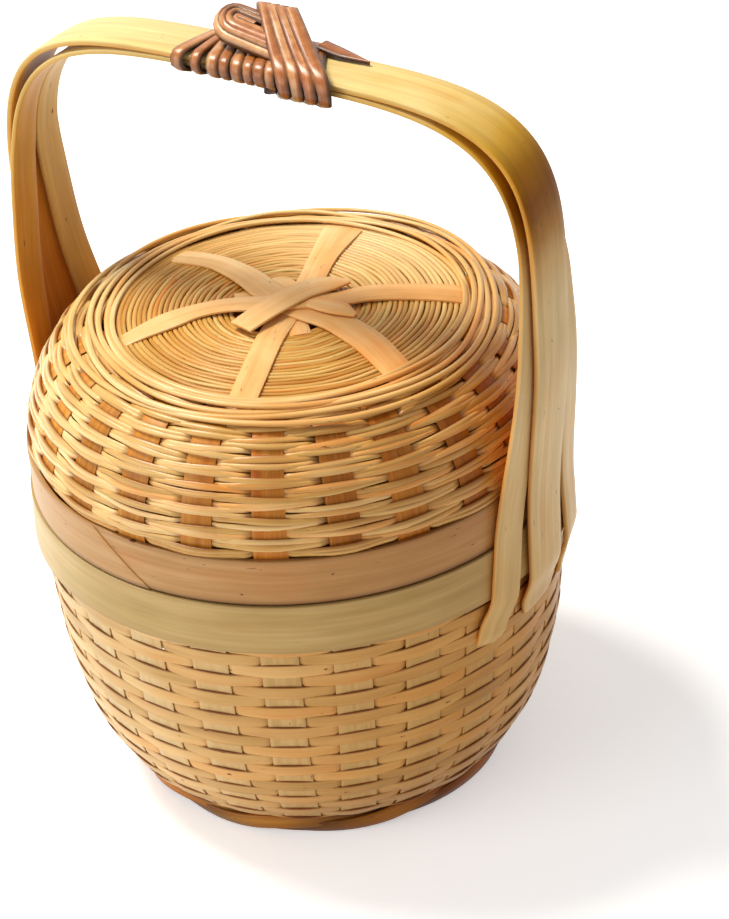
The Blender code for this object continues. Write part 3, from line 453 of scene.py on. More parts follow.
for number in range(STAKES):
    azimuth = BOWL_STAKE_START + 360.0 * number / STAKES + hand.uniform(-0.2, 0.2)
    width = 10.6 + hand.uniform(-0.35, 0.35)
    upright = lay_strip("upright", stake_face(stake_line, azimuth, width), 48, 4, stake_length, width, 0.5,
                        hand.random(), ease=0.12)
    join_as(f"bowl_upright_{number + 1:02d}", [upright], pale_upright, "basket", "bamboo_strip",
            f"bowl_stake_{number + 1:02d}")


def weft_middle(line, length, run, row, start, levels, half_window, wobble, fat, dive):
    """Middle of a weft row: it bulges over one upright and dives behind the next close to its edge,
    with a maker's small unevenness. levels say how far in it lies over, between and behind the uprights, dive how
    long it takes to go down, as a share of the uprights' spacing."""
    over, between, behind = levels
    phase = [hand.uniform(0.0, 6.28) for _ in range(4)]

    def middle(angle):
        slip = wobble * (math.sin(5.0 * angle + phase[0]) + 0.7 * math.sin(13.0 * angle + phase[1]))
        reach, height, out, up = line_at(line, length, run + slip)
        beat = (angle - math.radians(start)) / (2.0 * math.pi / STAKES) + row
        clear = abs((beat + 1.0) % 2.0 - 1.0)      # 0 behind an upright, 1 over the next one
        edge = half_window / (reach * 2.0 * math.pi / STAKES)
        seen = ease_step((clear - edge) / dive + 0.5)
        bulge = ease_step((clear - 0.40) / 0.55)
        level = behind + (between - behind) * seen + (over - between) * bulge * (1.0 + 0.25 * math.sin(9.0 * angle + phase[2]))
        swell = 0.97 + fat * bulge + 0.04 * math.sin(7.0 * angle + phase[3])
        # Painted shade: darker where the row dives behind an upright, and a painted shadow line along its upper edge
        # where it lies over one
        edge_shade = 0.95 * ease_step((clear - 0.60) / 0.14)
        return reach - out * level, height - up * level, out, up, 0.7 * (1.0 - seen), swell, edge_shade
    return middle


# Sections of a row from behind one upright to over the next, closer where it dives, and back again
PLACES = (0.0, 0.17, 0.22, 0.27, 0.32, 0.37, 0.42, 0.55, 0.70, 0.85)


def row_angles(start, row):
    """Angles of a row's sections, all round."""
    beats = [lap * 2 - row % 2 + place for lap in range(STAKES // 2) for place in
             PLACES + (1.0,) + tuple(2.0 - back for back in PLACES[:0:-1])]
    return [math.radians(start) + beat * 2.0 * math.pi / STAKES for beat in beats]


rows = []
for row in range(BOWL_ROWS):
    run = wall_length - 0.3 - BOWL_ROW_PITCH * row
    if run < 1.0:
        break
    middle = weft_middle(wall_line, wall_length, run, row + 1, BOWL_STAKE_START, BOWL_LEVELS, 5.3, 0.12, 0.22, 0.17)
    rows.append(wind_ring("row", middle, BOWL_WEFT_WIDTH, BOWL_WEFT_THICKNESS, hand.random(), 240, 12, 0.45,
                          row_angles(BOWL_STAKE_START, row + 1)))
join_as("bowl_weft", rows, bowl_weft, "basket", "bamboo_weft", "bowl_wall")

# The floor: flat strips in a plain weave, cut round and laid on the uprights' turned-in ends
FLOOR_RADIUS, FLOOR_PITCH = 52.4, 10.5
strips = []
for way in (0, 1):
    for lane in range(-4, 5):
        off = lane * FLOOR_PITCH
        half_run = math.sqrt(FLOOR_RADIUS ** 2 - (abs(off) + 4.9) ** 2) if abs(off) + 4.9 < FLOOR_RADIUS else 0.0
        half_run = max(half_run, 16.0)

        def floor_face(share, side, way=way, off=off, half_run=half_run, lane=lane):
            along = (share * 2.0 - 1.0) * half_run
            beat = math.cos(math.pi * along / FLOOR_PITCH) * (1.0 if (lane + way) % 2 else -1.0)
            x, y = along, off + side * 4.9
            z = 10.5 + 0.5 * beat
            return (x, y, z) if way == 0 else (-y, x, z)
        strips.append(lay_strip("strip", floor_face, int(half_run * 0.8), 2, half_run * 2.0, 9.8, 0.8, hand.random(), ease=0))
join_as("floor_weave", strips, pale_upright, "basket", "bamboo_weft", "floor_mat")


# ---- Rim hoops of the bowl ----
# The wall's edge is clamped between two hoops of thick bamboo strip, planed and sanded smooth.
# The inner hoop stands proud and makes the lip on which the lid sits.
rim_strip = split_bamboo("split bamboo, planed rim hoops", "#5E2E0C", "#AE9056", "#C6AA70", "#DCC494", fibre=0.8,
                         roughness=(0.34, 0.48), spots=0.735, patches=30.0, ripe="#F8E8CC", right_side_shade=0.6)
# Its edges get a little painted shade
hoop = bend_hoop("hoop", 80.8, 85.5, 15.5, 1.6, 124.5, 24.0, 0.45, flare=0.6, slant=5.0, dark=(0.3, 0.2))
join_as("bowl_rim_hoop", [hoop], rim_strip, "basket", "bamboo_strip", "bowl_outer_hoop")
hoop = bend_hoop("hoop", 78.0, 91.0, 16.0, 1.6, 60.0, 20.0, 0.6)
join_as("bowl_lip_hoop", [hoop], rim_strip, "basket", "bamboo_strip", "bowl_inner_hoop")


# ---- Handle ----
# One wide strip of bamboo over two narrow ones, steamed and bent over a form into an arch.
# Their shaved ends are pushed down behind the wefts, under the rim.
OUTER_ARCH, INNER_ARCH = (86.2, 4.6), (85.3, 4.0)      # half span and squareness
SHOULDER, RISE = 161.0, 67.2
SEAM, HOOP_FOOT, AT_RIM = 101.0, 85.5, 82.2
OUTER_WIDTH, OUTER_THICKNESS, INNER_THICKNESS = 17.8, 1.8, 1.5


def wall_reach(height):
    """Outer radius of the bowl's wall at a height."""
    return float(np.interp(height, wall_line[:, 1], wall_line[:, 0]))


def leg_reach(height, arch):
    """Reach of a leg's face from the middle, from the arch in to the rim and the wall."""
    if height >= SEAM:
        return arch[0] + (AT_RIM - arch[0]) * ease_step((SHOULDER - height) / (SHOULDER - SEAM))
    return AT_RIM + (wall_reach(height) + 0.6 - AT_RIM) * ease_step((HOOP_FOOT - height) / 12.0)


def arch_side(share, arch):
    """Point and outward direction on an arch, from its +X shoulder to its -X one."""
    half_span, power = arch
    across, up = math.cos(math.pi * share), math.sin(math.pi * share)
    x = half_span * math.copysign(abs(across) ** (2.0 / power), across)
    z = SHOULDER + RISE * max(up, 0.0) ** (2.0 / power)
    lean = math.copysign(abs(x / half_span) ** (power - 1.0), x) / half_span
    climb = ((z - SHOULDER) / RISE) ** (power - 1.0) / RISE
    length = math.hypot(lean, climb)
    return x, z, lean / length, climb / length


def splay_width(height):
    """Width of a narrow strip, which is cut narrower along the top of the handle."""
    return 8.65 + 2.35 * ease_step((224.0 - height) / 50.0)


def splay_offset(height):
    """How far a narrow strip's middle lies beside the handle's middle."""
    return (splay_width(height) + 0.5) / 2.0 + 16.4 * max((190.0 - height) / 122.0, 0.0) ** 1.1


def bulge_out(height):
    """How far the left leg, bent a little rounder than the other, stands out from the drawn line."""
    return 1.9 * ease_step((height - 112.0) / 38.0) * ease_step((226.0 - height) / 46.0)


def outer_sections(end):
    """Sections of the wide strip, from one end to the other: middle of the outer face, outward, width."""
    half = []
    for height in np.linspace(end, SHOULDER, 46, endpoint=False):
        rounding = min(1.0, (height - end) / 8.0)
        width = OUTER_WIDTH - 11.0 * (1.0 - rounding) ** 2
        sink = 2.3 * (1.0 - ease_step((height - end) / 5.0))
        thick = 1.3 + 0.5 * ease_step((height - 68.0) / 93.0)
        half.append((leg_reach(height, OUTER_ARCH) + thick - sink, 0.0, height, 1.0, 0.0, 0.0, width, thick))
    arch = []
    for share in np.linspace(0.0, 1.0, 121):
        x, z, lean, climb = arch_side(share, OUTER_ARCH)
        arch.append((x + lean * OUTER_THICKNESS, 0.0, z + climb * OUTER_THICKNESS, lean, 0.0, climb, OUTER_WIDTH, OUTER_THICKNESS))
    return half_to_whole(half, arch)


def half_to_whole(half, arch):
    """Put the other leg to a leg and an arch: the same, mirrored, and bent out by its bulge."""
    other = [(-x, y, z, -nx, ny, nz, width, thick) for x, y, z, nx, ny, nz, width, thick in reversed(half)]
    whole = np.array(half + arch + other)
    for row in whole:
        if row[0] < 0.0:
            row[0] -= bulge_out(row[2])
    return whole


def inner_sections(side, end):
    """Sections of one narrow strip; side is 1 for the strip at the back and -1 for the front one."""
    half = []
    for height in np.linspace(end, SHOULDER, 46, endpoint=False):
        offset = splay_offset(height)
        full = splay_width(height)
        width = full - 6.0 * (1.0 - min(1.0, (height - end) / 6.0)) ** 2
        thick = 1.3 + 0.2 * ease_step((height - 68.0) / 93.0)
        reach = leg_reach(max(height, HOOP_FOOT), INNER_ARCH)
        angle = math.asin(offset / reach) * ease_step((SHOULDER - height) / (SHOULDER - SEAM))
        x = reach - 0.3 - full / 2.0 * math.sin(angle) - thick * math.cos(angle)
        radius = math.hypot(x, offset)
        if height < SEAM:
            radius = max(radius, 81.4 + 0.6 * min((SEAM - height) / 15.5, 1.0))
            radius += (wall_reach(height) + 0.6 - radius) * ease_step((HOOP_FOOT - height) / 12.0)
            radius -= 2.3 * (1.0 - ease_step((height - end) / 5.0))
        x = math.sqrt(radius * radius - offset * offset)
        out = (math.cos(angle), side * math.sin(angle))
        half.append((x + out[0] * thick, side * offset + out[1] * thick, height, out[0], out[1], 0.0, width, thick))
    arch = []
    for share in np.linspace(0.0, 1.0, 121):
        x, z, lean, climb = arch_side(share, INNER_ARCH)
        arch.append((x - lean * 0.3, side * splay_offset(z), z - climb * 0.3, lean, 0.0, climb, splay_width(z), INNER_THICKNESS))
    whole = half_to_whole(half, arch)
    for row in whole:
        if row[0] > 0.0:     # the right leg's back strip stands off from higher up, its front one lies closer
            row[1] += (3.2 if side > 0.0 else 1.4) * ease_step((212.0 - row[2]) / 40.0) * ease_step((row[2] - 70.0) / 60.0)
    return whole


def bend_along(name, sections, lanes, thickness, tone, crown, ease):
    """A strip that follows sections of middle, outward direction, width and thickness."""
    run = np.concatenate([[0.0], np.cumsum(np.linalg.norm(np.diff(sections[:, :3], axis=0), axis=1))])
    shares = run / run[-1]

    def row_at(share):
        return [float(np.interp(share, shares, column)) for column in sections.T]

    def place(share, side):
        x, y, z, nx, ny, nz, width, _ = row_at(share)
        before, after = row_at(max(share - 0.004, 0.0)), row_at(min(share + 0.004, 1.0))
        way = Vector(after[:3]) - Vector(before[:3])
        out = Vector((nx, ny, nz)).normalized()
        across = out.cross(way).normalized()
        return Vector((x, y, z)) + across * (side * width / 2.0) - out * (crown * side * side)
    return lay_strip(name, place, 220, lanes, run[-1], float(sections[len(sections) // 2][6]), thickness, tone, ease,
                     thin=lambda share, side: row_at(share)[7] / thickness)


def steamed_bamboo(name, pith_shade_low, pith_shade_high):
    """Handle strip: glossy skin outside, pale gold on the arch, scorched brown where the one bend was steamed, greyish
    tan down that leg; on its inner side deep orange, darker low down, partly the pith's own duller colour and partly
    painted shade of the inner faces."""
    made = split_bamboo(name, "#7C4A20", "#CBC0AE", "#EAE3D6", "#FFFFFF", fibre=0.7, roughness=(0.26, 0.40), gloss=0.04,
                        spots=0.71, patches=34.0, unripe="#F6F4EA", ripe="#FFE9CC", right_side_shade=0.0)
    tree = made.node_tree
    shader = next(n for n in tree.nodes if n.type == "BSDF_PRINCIPLED")
    shader.inputs["Specular IOR Level"].default_value = 0.09
    source = shader.inputs["Base Color"].links[0].from_socket
    body = add_node(tree, "ShaderNodeTexCoord")
    waver = add_node(tree, "ShaderNodeTexNoise", sockets={"Scale": 60.0, "Detail": 2.0}, links={"Vector": body.outputs["Object"]})
    parts = add_node(tree, "ShaderNodeSeparateXYZ", links={0: body.outputs["Object"]})
    uneven = add_node(tree, "ShaderNodeMath", {"operation": "MULTIPLY_ADD"}, sockets={1: 0.010}, links={
        0: waver.outputs["Fac"], 2: parts.outputs["Z"]})
    height = add_node(tree, "ShaderNodeMapRange", sockets={"From Min": 0.065, "From Max": 0.237}, links={
        "Value": uneven.outputs[0]})
    scorched = add_node(tree, "ShaderNodeValToRGB", links={"Fac": height.outputs[0]}, stops=(
        (0.0, to_linear("#F4C880")), (1.0, to_linear("#FAE8AC")), (0.45, to_linear("#FFE2AC")), (0.66, to_linear("#FADCA4")),
        (0.735, to_linear("#ECC07C")), (0.785, to_linear("#C4882C")), (0.82, to_linear("#A86A04")), (0.85, to_linear("#A46400")),
        (0.89, to_linear("#CE8C10")), (0.94, to_linear("#F0BE48"))))
    golden = add_node(tree, "ShaderNodeValToRGB", links={"Fac": height.outputs[0]}, stops=(
        (0.0, to_linear("#B98748")), (1.0, to_linear("#FAE8AC")), (0.5, to_linear("#D8AC66")), (0.85, to_linear("#F0D290"))))
    # Inner side: pith colour with painted shade, deeper orange towards the bottom
    pith_and_shade = add_node(tree, "ShaderNodeValToRGB", links={"Fac": height.outputs[0]}, stops=(
        (0.25, to_linear(pith_shade_low)), (0.9, to_linear(pith_shade_high))))
    right = add_node(tree, "ShaderNodeMapRange", sockets={"From Min": -0.010, "From Max": 0.045}, links={"Value": parts.outputs["X"]})
    skin = add_node(tree, "ShaderNodeMix", {"data_type": "RGBA"}, links={
        "Factor": right.outputs[0], "A": golden.outputs[0], "B": scorched.outputs[0]})
    inner = add_node(tree, "ShaderNodeAttribute", {"attribute_name": "pith_and_shade"})
    whole = add_node(tree, "ShaderNodeMix", {"data_type": "RGBA"}, links={
        "Factor": inner.outputs["Fac"], "A": skin.outputs["Result"], "B": pith_and_shade.outputs[0]})
    tinted = add_node(tree, "ShaderNodeMix", {"data_type": "RGBA", "blend_type": "MULTIPLY"}, sockets={"Factor": 1.0},
                      links={"A": source, "B": whole.outputs["Result"]})
    tree.links.new(tinted.outputs["Result"], shader.inputs["Base Color"])
    return made


strip = bend_along("strip", outer_sections(66.5), 6, OUTER_THICKNESS, 0.5, 0.35, 0.4)
wide_skin = steamed_bamboo("split bamboo, steam-bent wide strip", "#E0821A", "#F0B65C")
join_as("handle_wide_strip", [strip], wide_skin, "basket", "handle_bamboo", "handle_outer_strip")
for side, word, pith_shade_low, pith_shade_high in ((-1.0, "front", "#F8A028", "#F4C66C"), (1.0, "back", "#E8AA4A", "#FCE09C")):
    strip = bend_along("strip", inner_sections(side, 66.5), 4, INNER_THICKNESS, 0.45 + 0.1 * side, 0.1, 0.35)
    narrow_skin = steamed_bamboo(f"split bamboo, steam-bent narrow strip, {word}", pith_shade_low, pith_shade_high)
    join_as(f"handle_narrow_strip_{word}", [strip], narrow_skin, "basket", "handle_bamboo", f"handle_inner_strip_{word}")


# ---- Rattan winding and knot ----
# The middle of the handle is bound with flat glossy rattan: a wrap, a bundle of loops laid on it
# and a slanted band that pins the loops, its cut end left as a pointed tail.
def rattan_finish():
    """Peeled rattan, stained: painted shade deepens the grooves between strands and their undersides, and pale streaks
    run along each strand, partly grain and partly painted highlight.
    """
    return split_bamboo("peeled rattan, stained", "#2C0E02", "#703604", "#B4723A", "#FBD8A8", fibre=0.5,
                        roughness=(0.22, 0.36), gloss=0.4, spots=0.80, patches=3.0, unripe="#FFFFFF", ripe="#FFD9B0")


rattan = rattan_finish()


def arch_middle(x):
    """Height of the middle of the handle's stacked strips near the top of the arch."""
    half_span, power = OUTER_ARCH
    return SHOULDER + RISE * (1.0 - abs(x / half_span) ** power) ** (1.0 / power)


def stadium(turn, half_length, radius):
    """Point and outward direction on a stadium outline, a whole turn counting as one."""
    straight, bend = 2.0 * half_length, math.pi * radius
    run = (turn % 1.0) * 2.0 * (straight + bend)
    flip = 1.0
    if run >= straight + bend:
        run -= straight + bend
        flip = -1.0
    if run < straight:
        return flip * (half_length - run), flip * radius, 0.0, flip
    angle = (run - straight) / radius
    side, rise = -math.sin(angle), math.cos(angle)
    return flip * (radius * side - half_length), flip * radius * rise, flip * side, flip * rise


def wind_strand(name, points, outs, width, thickness, tone, sides=10):
    """A rattan strand along a run of points: a grid rolled into a tube, sewn shut and its ends closed."""
    bpy.ops.object.select_all(action="DESELECT")
    steps = len(points) - 1
    widths = width if isinstance(width, list) else [width] * len(points)
    bpy.ops.mesh.primitive_grid_add(x_subdivisions=steps, y_subdivisions=sides, size=2.0)
    strand = bpy.context.object
    strand.name = strand.data.name = name
    mesh = strand.data
    shares = [(round((point.co.x + 1.0) / 2.0 * steps), (point.co.y + 1.0) / 2.0) for point in mesh.vertices]
    run = [0.0]
    for before, after in zip(points, points[1:]):
        run.append(run[-1] + (after - before).length)
    chart = mesh.uv_layers[0]
    chart.name = "UVMap"
    for loop, mark in zip(mesh.loops, chart.data):
        step, share = shares[loop.vertex_index]
        mark.uv = (run[step] * MM, share * (widths[step] + thickness) * 1.6 * MM)
    painted_shades = []
    for vertex, (step, share) in zip(mesh.vertices, shares):
        way = points[min(step + 1, steps)] - points[max(step - 1, 0)]
        out = outs[step].normalized()
        across = out.cross(way).normalized()
        round_ = -2.0 * math.pi * share
        flat = math.copysign(abs(math.cos(round_)) ** 0.8, math.cos(round_))
        high = math.copysign(abs(math.sin(round_)) ** 0.8, math.sin(round_))
        vertex.co = (points[step] + across * (flat * widths[step] / 2.0) + out * (high * thickness / 2.0)) * MM
        # Painted shade: darker at the strand's edges, in the grooves between turns, on its underside and where it faces
        # away from up
        painted_shades.append(0.9 * max(0.0, abs(flat) - 0.50) / 0.50 + (0.6 if high < -0.3 else 0.0) + 0.3 * (1.0 - out.z))
    mark_points(mesh, "tone", [tone] * len(shares))
    mark_points(mesh, "painted_shade", [min(1.0, painted_shade) for painted_shade in painted_shades])
    bpy.ops.object.mode_set(mode="EDIT")
    bpy.ops.mesh.select_all(action="SELECT")
    bpy.ops.mesh.remove_doubles(threshold=0.00002)
    bpy.ops.mesh.fill_holes(sides=0)
    bpy.ops.mesh.normals_make_consistent(inside=False)
    bpy.ops.object.mode_set(mode="OBJECT")
    bpy.ops.object.shade_smooth_by_angle(angle=math.radians(60.0))
    return strand


def wrap_path(start, turns, pitch, slant, lift, steps=28, stray=0.0, pinch=0.0, lean=0.0, hump=0.0, first=0.0):
    """Points and outward directions of turns round the handle, slanted across it; stray is how far
    single turns lie out of step, pinch how much closer they lie at the back, lean how much more the first
    turns slant, hump how high they stand off at the back, first how far round the first one starts."""
    half_length, radius = 8.4, 1.87 + 0.3 + 0.6 + lift
    drift = [hand.uniform(-stray, stray) for _ in range(int(turns) + 2)]
    points, outs = [], []
    for step in range(int(turns * steps) + 1):
        turn = step / steps
        y, rise, out_y, out_z = stadium(turn + first, half_length, radius)
        off = drift[int(turn)] + (drift[int(turn) + 1] - drift[int(turn)]) * ease_step(turn % 1.0)
        back = y / (2.0 * (half_length + radius))
        x = start + pitch * turn * (1.0 - pinch * (0.5 + back)) + off - (slant - lean * max(0.0, 1.0 - turn / 2.5)) * back
        points.append(Vector((x, y, arch_middle(x) + rise + hump * ease_step(0.5 + back) * max(0.0, out_z))))
        outs.append(Vector((0.0, out_y, out_z)))
    return points, outs


points, outs = wrap_path(-20.6, 12, 3.8, 3.0, 0.0, stray=0.5, pinch=0.2, lean=11.0)
strand = wind_strand("strand", points, outs, [3.95 + 0.45 * math.sin(0.11 * step) for step in range(len(points))], 1.6, 0.45)
join_as("rattan_wrapping", [strand], rattan, "basket", "rattan", "rattan_wrap")
points, outs = wrap_path(0.6, 4, 4.3, 20.0, 1.75, pinch=0.4, hump=8.0, first=0.5)
strand = wind_strand("strand", points, outs, 4.3, 1.8, 0.6)
join_as("rattan_slanted_band", [strand], rattan, "basket", "rattan", "rattan_band")

seat = arch_middle(0.0) + 1.87 + 0.3 + 0.6 + 1.2 + 0.45
layers = []
for layer in (0, 1):
    points, outs = [], []
    for step in range(int(3.5 * 32) + 1):
        turn = 0.25 + step / 32
        radius = 0.3 + 1.5 * turn - 0.3 * layer
        reach, y, out_x, out_y = stadium(turn, 6.6 + 0.3 * turn, radius)
        arch = 4.6 - 0.16 * (radius - 2.4) ** 2 - 1.8 * layer
        points.append(Vector((-1.9 + reach - 0.25 * y, 1.2 + 1.05 * y, seat + arch + (0.30 - 0.12 * layer) * y - 0.16 * reach)))
        outs.append(Vector((0.16 * radius * out_x, 0.16 * radius * out_y, 1.0)))
    layers.append(wind_strand("strand", points, outs, 3.0, 2.4, 0.75 - 0.3 * layer))
join_as("rattan_loop_bundle", layers, rattan, "basket", "rattan", "rattan_loop")

tail_line, _ = smooth_line([(14.5, 7.0, arch_middle(14.5) + 4.2, 5.2), (22.0, 6.4, arch_middle(22.0) + 3.0, 4.4),
                            (30.5, 5.2, arch_middle(30.5) + 2.6, 0.7)], 16)
strand = wind_strand("strand", [Vector(row[:3]) for row in tail_line], [Vector((0, 0, 1))] * 16, [row[3] for row in tail_line],
                     1.3, 0.3)
join_as("rattan_cut_end", [strand], rattan, "basket", "rattan", "rattan_tail")


# ---- Lid: hoops, uprights, woven dome ----
# The lid is clamped between two hoops as the bowl is, and sits over the bowl's lip.
# Its wefts are thinner and rounder than the bowl's, and leave small gaps between the rows.
lid_strip = split_bamboo("split bamboo, planed lid hoop", "#4E2408", "#A87C46", "#C0955F", "#D8B688", fibre=0.8,
                         roughness=(0.34, 0.48), spots=0.70, patches=30.0, unripe="#F4EAE0", ripe="#FCDCBC", right_side_shade=0.7)
lid_weft = split_bamboo("split bamboo, lid wefts", "#7E3E0C", "#BE8E46", "#E0BA74", "#FCE4B0", roughness=(0.24, 0.40), gloss=0.3,
                        unripe="#F4F0DC", ripe="#FFCE8C", right_side_shade=0.8)
# Lid uprights: darker and more orange than the bowl's, partly their own colour and partly painted shade in the recessed
# windows between the wefts
lid_upright = split_bamboo("split bamboo, lid uprights", "#5E2E08", "#A0661C", "#C8862E", "#E8B45C", unripe="#FFFFFF", ripe="#FFD890")

# Strong painted shade on its lower edge: the shadow in the seam over the bowl's rim hoop
hoop = bend_hoop("hoop", 80.0, 101.3, 14.7, 1.6, -120.0, 24.0, 0.5, slant=7.0, dark=(0.95, 0.3), ease=0.45)
join_as("lid_rim_hoop", [hoop], lid_strip, "lid", "bamboo_strip", "lid_outer_hoop")
hoop = bend_hoop("hoop", 77.2, 107.4, 7.3, 1.6, 40.0, 20.0, 0.5)
join_as("lid_inside_hoop", [hoop], lid_strip, "lid", "bamboo_strip", "lid_inner_hoop")

DOME_SHARES = ((0.0, 0.0), (-0.01, 0.08), (0.03, 0.2), (0.11, 0.4), (0.245, 0.61), (0.435, 0.79), (0.69, 0.93), (1.0, 1.0))
LID_STAKE_START = 42.0
LID_LEVELS = (0.20, 0.80, 2.30)
dome_line, dome_length = smooth_line([(79.4 - 24.8 * inward, 116.3 + 33.3 * up, 0.0) for inward, up in DOME_SHARES], 120)

stake_path = [(77.3, 108.2, 0.0), (77.4, 113.0, 0.0)]
for run in np.linspace(1.5, dome_length, 9):
    reach, height, out, up = line_at(dome_line, dome_length, run)
    stake_path.append((reach - out * 1.2, height - up * 1.2, 0.0))
stake_path += [(48.0, 147.4, 0.0), (36.0, 147.3, 0.0), (14.0, 147.3, 0.0)]
lid_stake_line, lid_stake_length = smooth_line(stake_path, 70)
for number in range(STAKES):
    azimuth = LID_STAKE_START + 360.0 * number / STAKES + hand.uniform(-0.8, 0.8)
    width = 9.6 + hand.uniform(-0.8, 0.6)
    upright = lay_strip("upright", stake_face(lid_stake_line, azimuth, width, 0.72), 54, 4, lid_stake_length, width, 0.4,
                        hand.random(), ease=0.15)
    join_as(f"lid_upright_{number + 1:02d}", [upright], lid_upright, "lid", "bamboo_strip", "lid_stakes")

rows = []
run, row = 1.5, 0
while run < dome_length - 1.0:
    for off, width in ((-0.75, 1.7 + hand.uniform(-0.2, 0.3)), (0.75, 1.7 + hand.uniform(-0.2, 0.3))):
        middle = weft_middle(dome_line, dome_length, run + off, row + 1, LID_STAKE_START, LID_LEVELS, 4.8, 0.30, 0.25, 0.22)
        rows.append(wind_ring("row", middle, width, 1.1, hand.random(), 240, 8, 0.7, row_angles(LID_STAKE_START, row + 1)))
    run += 3.02 - 0.4 * run / dome_length
    row += 1
join_as("lid_dome_weft", rows, lid_weft, "lid", "bamboo_weft", "lid_dome")


# ---- Crown of the lid ----
# The flat top is a close coil of fine wefts, crossed by three wide strips that lock it to the dome,
# with one short strip laid over their crossing.
CROWN_TOP, CROWN_CAMBER, CROWN_REACH = 150.2, 0.6, 50.0


def crown_height(reach):
    """Height of the crown's top at a reach from the middle."""
    return CROWN_TOP - CROWN_CAMBER * min(reach / CROWN_REACH, 1.1) ** 2


def coil_middle(reach, sway):
    """Middle of one turn of the crown's coil, whose spacing changes round the basket."""
    phase = hand.uniform(0.0, 6.28)

    def middle(angle):
        r = reach + sway * math.sin(angle - 0.9) + 0.12 * math.sin(6.0 * angle + phase)
        z = crown_height(r) - 0.55 + 0.12 * math.sin(12.0 * angle + phase)
        return r, z, 0.0, 1.0, 0.0, 1.0, 0.0
    return middle


turns = []
COIL_TURNS = 23
for number in range(COIL_TURNS):
    share = number / (COIL_TURNS - 1.0)
    reach = 16.5 + (50.6 - 16.5) * share
    turns.append(wind_ring("turn", coil_middle(reach, 1.6 * math.sin(math.pi * share)), 1.5, 1.1, hand.random(), steps=120,
                           square=0.75))
crown_coil = split_bamboo("split bamboo, crown coil", "#8E4408", "#B47622", "#CE9C4A", "#E8CA84", roughness=(0.3, 0.46), gloss=0.2,
                          unripe="#FFF8E0", ripe="#FFCC80", right_side_shade=0.0)
tree = crown_coil.node_tree
shader = next(n for n in tree.nodes if n.type == "BSDF_PRINCIPLED")
body = add_node(tree, "ShaderNodeTexCoord")
parts = add_node(tree, "ShaderNodeSeparateXYZ", links={0: body.outputs["Object"]})
# The coil is painted paler towards the back of the crown (+Y)
far = add_node(tree, "ShaderNodeMapRange", sockets={"From Min": 0.010, "From Max": 0.052, "To Max": 0.6}, links={
    "Value": parts.outputs["Y"]})
paler_back = add_node(tree, "ShaderNodeMix", {"data_type": "RGBA"}, sockets={"B": to_linear("#F6DEA4")}, links={
    "Factor": far.outputs[0], "A": shader.inputs["Base Color"].links[0].from_socket})
tree.links.new(paler_back.outputs["Result"], shader.inputs["Base Color"])
join_as("crown_coil", turns, crown_coil, "lid", "bamboo_weft", "lid_crown_coil")

edge_turns = []
for number, (reach, drop) in enumerate(((51.3, 0.1), (52.9, 0.1), (54.7, 0.3), (56.8, 0.6), (59.2, 1.1), (61.8, 1.9))):
    phase, beat = hand.uniform(0.0, 6.28), (3.0, 4.0, 3.0, 5.0, 4.0, 3.0)[number]

    def edge_middle(angle, reach=reach, drop=drop, phase=phase, beat=beat, number=number):
        r = reach + (0.4 + 0.2 * number) * math.sin(beat * angle + phase)
        return r, 150.4 - drop + 0.5 * math.sin(beat * angle + phase + 1.2), 0.35, 0.94, 0.0, 1.0, 0.0
    edge_turns.append(wind_ring("turn", edge_middle, 1.9, 1.3, hand.uniform(0.3, 1.0), square=0.8))
join_as("crown_edge_wefts", edge_turns, lid_weft, "lid", "bamboo_weft")

# Star strips: middle line as x, y, height over the crown, and width, from one rim of the crown to the other
star_strip = split_bamboo("split bamboo, star strips", "#7A4016", "#D49C58", "#F0C282", "#FCE0AC", fibre=0.8,
                          roughness=(0.34, 0.5), patches=10.0, unripe="#FFFFFF", ripe="#FFD8A4")


def lay_star_strip(name, corners, tone, *nodes):
    """A wide flat strip over the crown."""
    line, length = smooth_line([(x, y, crown_height(math.hypot(x, y)) + rise, width) for x, y, rise, width in corners], 80)

    def place(share, side):
        at = share * (len(line) - 1)
        index = min(int(at), len(line) - 2)
        row = line[index] * (1.0 - at + index) + line[index + 1] * (at - index)
        way = line[min(index + 2, len(line) - 1)][:3] - line[max(index - 1, 0)][:3]
        across = Vector((-way[1], way[0], 0.0)).normalized()
        return Vector(row[:3]) + across * (side * row[3] / 2.0) - Vector((0, 0, 0.18 * side * side))
    strip = lay_strip("strip", place, 70, 4, length, 9.0, 0.75, tone, ease=0.15)
    return join_as(name, [strip], star_strip, "lid", "bamboo_strip", *nodes)


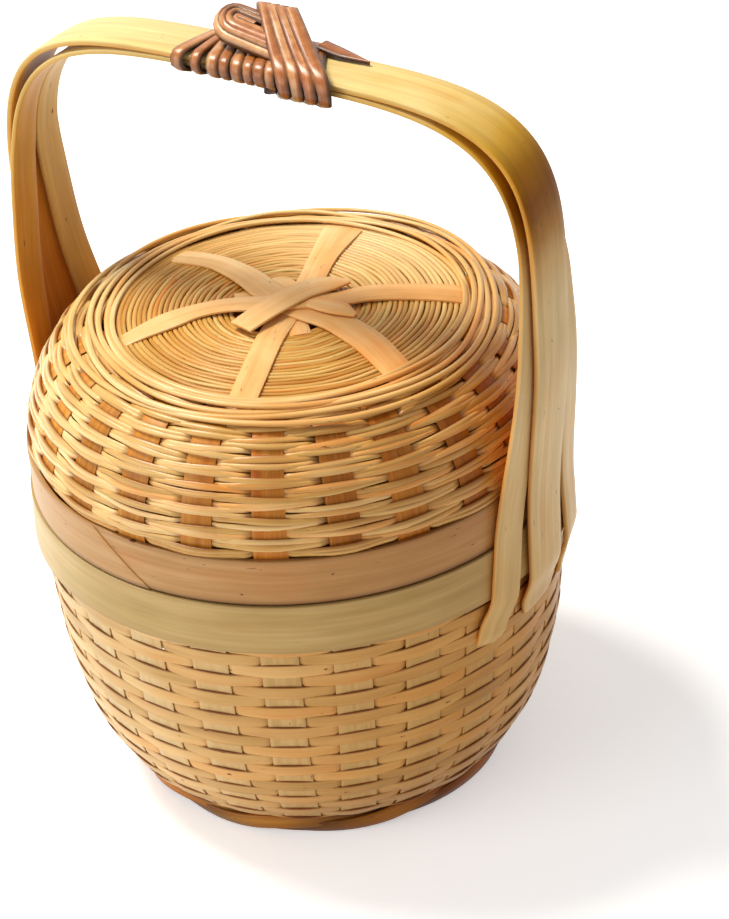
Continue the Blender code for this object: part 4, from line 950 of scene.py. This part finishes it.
lay_star_strip("star_strip_a", ((-11.2, 53.5, -1.6, 11.5), (-9.6, 46.0, 0.6, 11.8), (-5.7, 29.4, 0.9, 8.6), (-1.0, 14.0, 0.9, 8.0),
                                (2.0, 0.0, 0.9, 8.4), (5.2, -15.7, 0.9, 8.3), (8.4, -26.0, 0.9, 8.2), (12.3, -37.3, 0.9, 8.4),
                                (16.0, -48.0, 0.6, 8.2), (17.5, -53.5, -1.6, 8.0)), 0.62, "lid_crossing_strip_2")
lay_star_strip("star_strip_b", ((-52.5, 13.2, -1.6, 7.5), (-44.5, 12.0, 0.6, 7.5), (-34.2, 12.8, 0.9, 7.6), (-25.0, 10.6, 1.2, 8.4),
                                (-16.8, 7.1, 1.7, 9.0), (-7.0, 2.0, 1.8, 9.2), (4.0, -1.6, 1.8, 9.4), (17.0, -2.6, 1.4, 9.4),
                                (26.0, -5.0, 1.0, 10.0), (34.0, -8.6, 0.9, 9.8), (47.5, -17.0, 0.6, 9.0), (54.0, -20.5, -1.6, 8.0)),
               0.7, "lid_crossing_strip_3")
lay_star_strip("star_strip_c", ((-36.5, -40.5, -1.6, 6.0), (-31.4, -33.6, 0.6, 6.2), (-26.8, -22.8, 0.9, 8.6), (-22.0, -14.6, 1.1, 7.4),
                                (-15.0, -9.2, 1.9, 7.4), (-6.0, -5.5, 2.7, 8.0), (4.0, 0.5, 2.7, 8.0), (12.9, 6.9, 2.2, 7.6),
                                (18.0, 14.4, 1.5, 8.6), (24.6, 19.8, 1.0, 8.8), (34.0, 24.4, 0.9, 9.2), (41.5, 27.4, 0.6, 9.4),
                                (48.0, 30.5, -1.6, 9.0)), 0.45, "lid_crossing_strip_1")
lay_star_strip("star_top_strip", ((-3.6, -19.0, 2.7, 8.2), (-1.0, -8.0, 3.6, 8.8), (2.4, 4.6, 3.7, 9.0), (7.2, 12.4, 3.3, 7.6),
                                  (11.2, 17.0, 2.6, 2.0)), 0.8, "lid_top_strip")
lay_star_strip("star_leaf", ((3.8, 0.6, 2.4, 2.6), (9.8, 1.6, 2.9, 6.4), (16.5, 2.0, 2.8, 6.8), (22.6, 1.4, 2.2, 1.6)), 0.9)
lay_star_strip("star_stub", ((3.0, -1.0, 0.6, 6.2), (7.0, -6.4, 0.5, 6.4), (12.4, -12.2, 0.3, 6.2)), 0.95)
lay_star_strip("star_flat", ((-16.0, -3.6, 0.2, 8.0), (-8.0, 1.8, 0.4, 8.4), (2.0, 7.2, 0.4, 8.4)), 0.95)
lay_star_strip("star_flat_small", ((-13.8, 14.6, -0.2, 5.0), (-8.0, 11.4, 0.2, 5.6), (-1.0, 8.0, 0.3, 5.6)), 0.85)
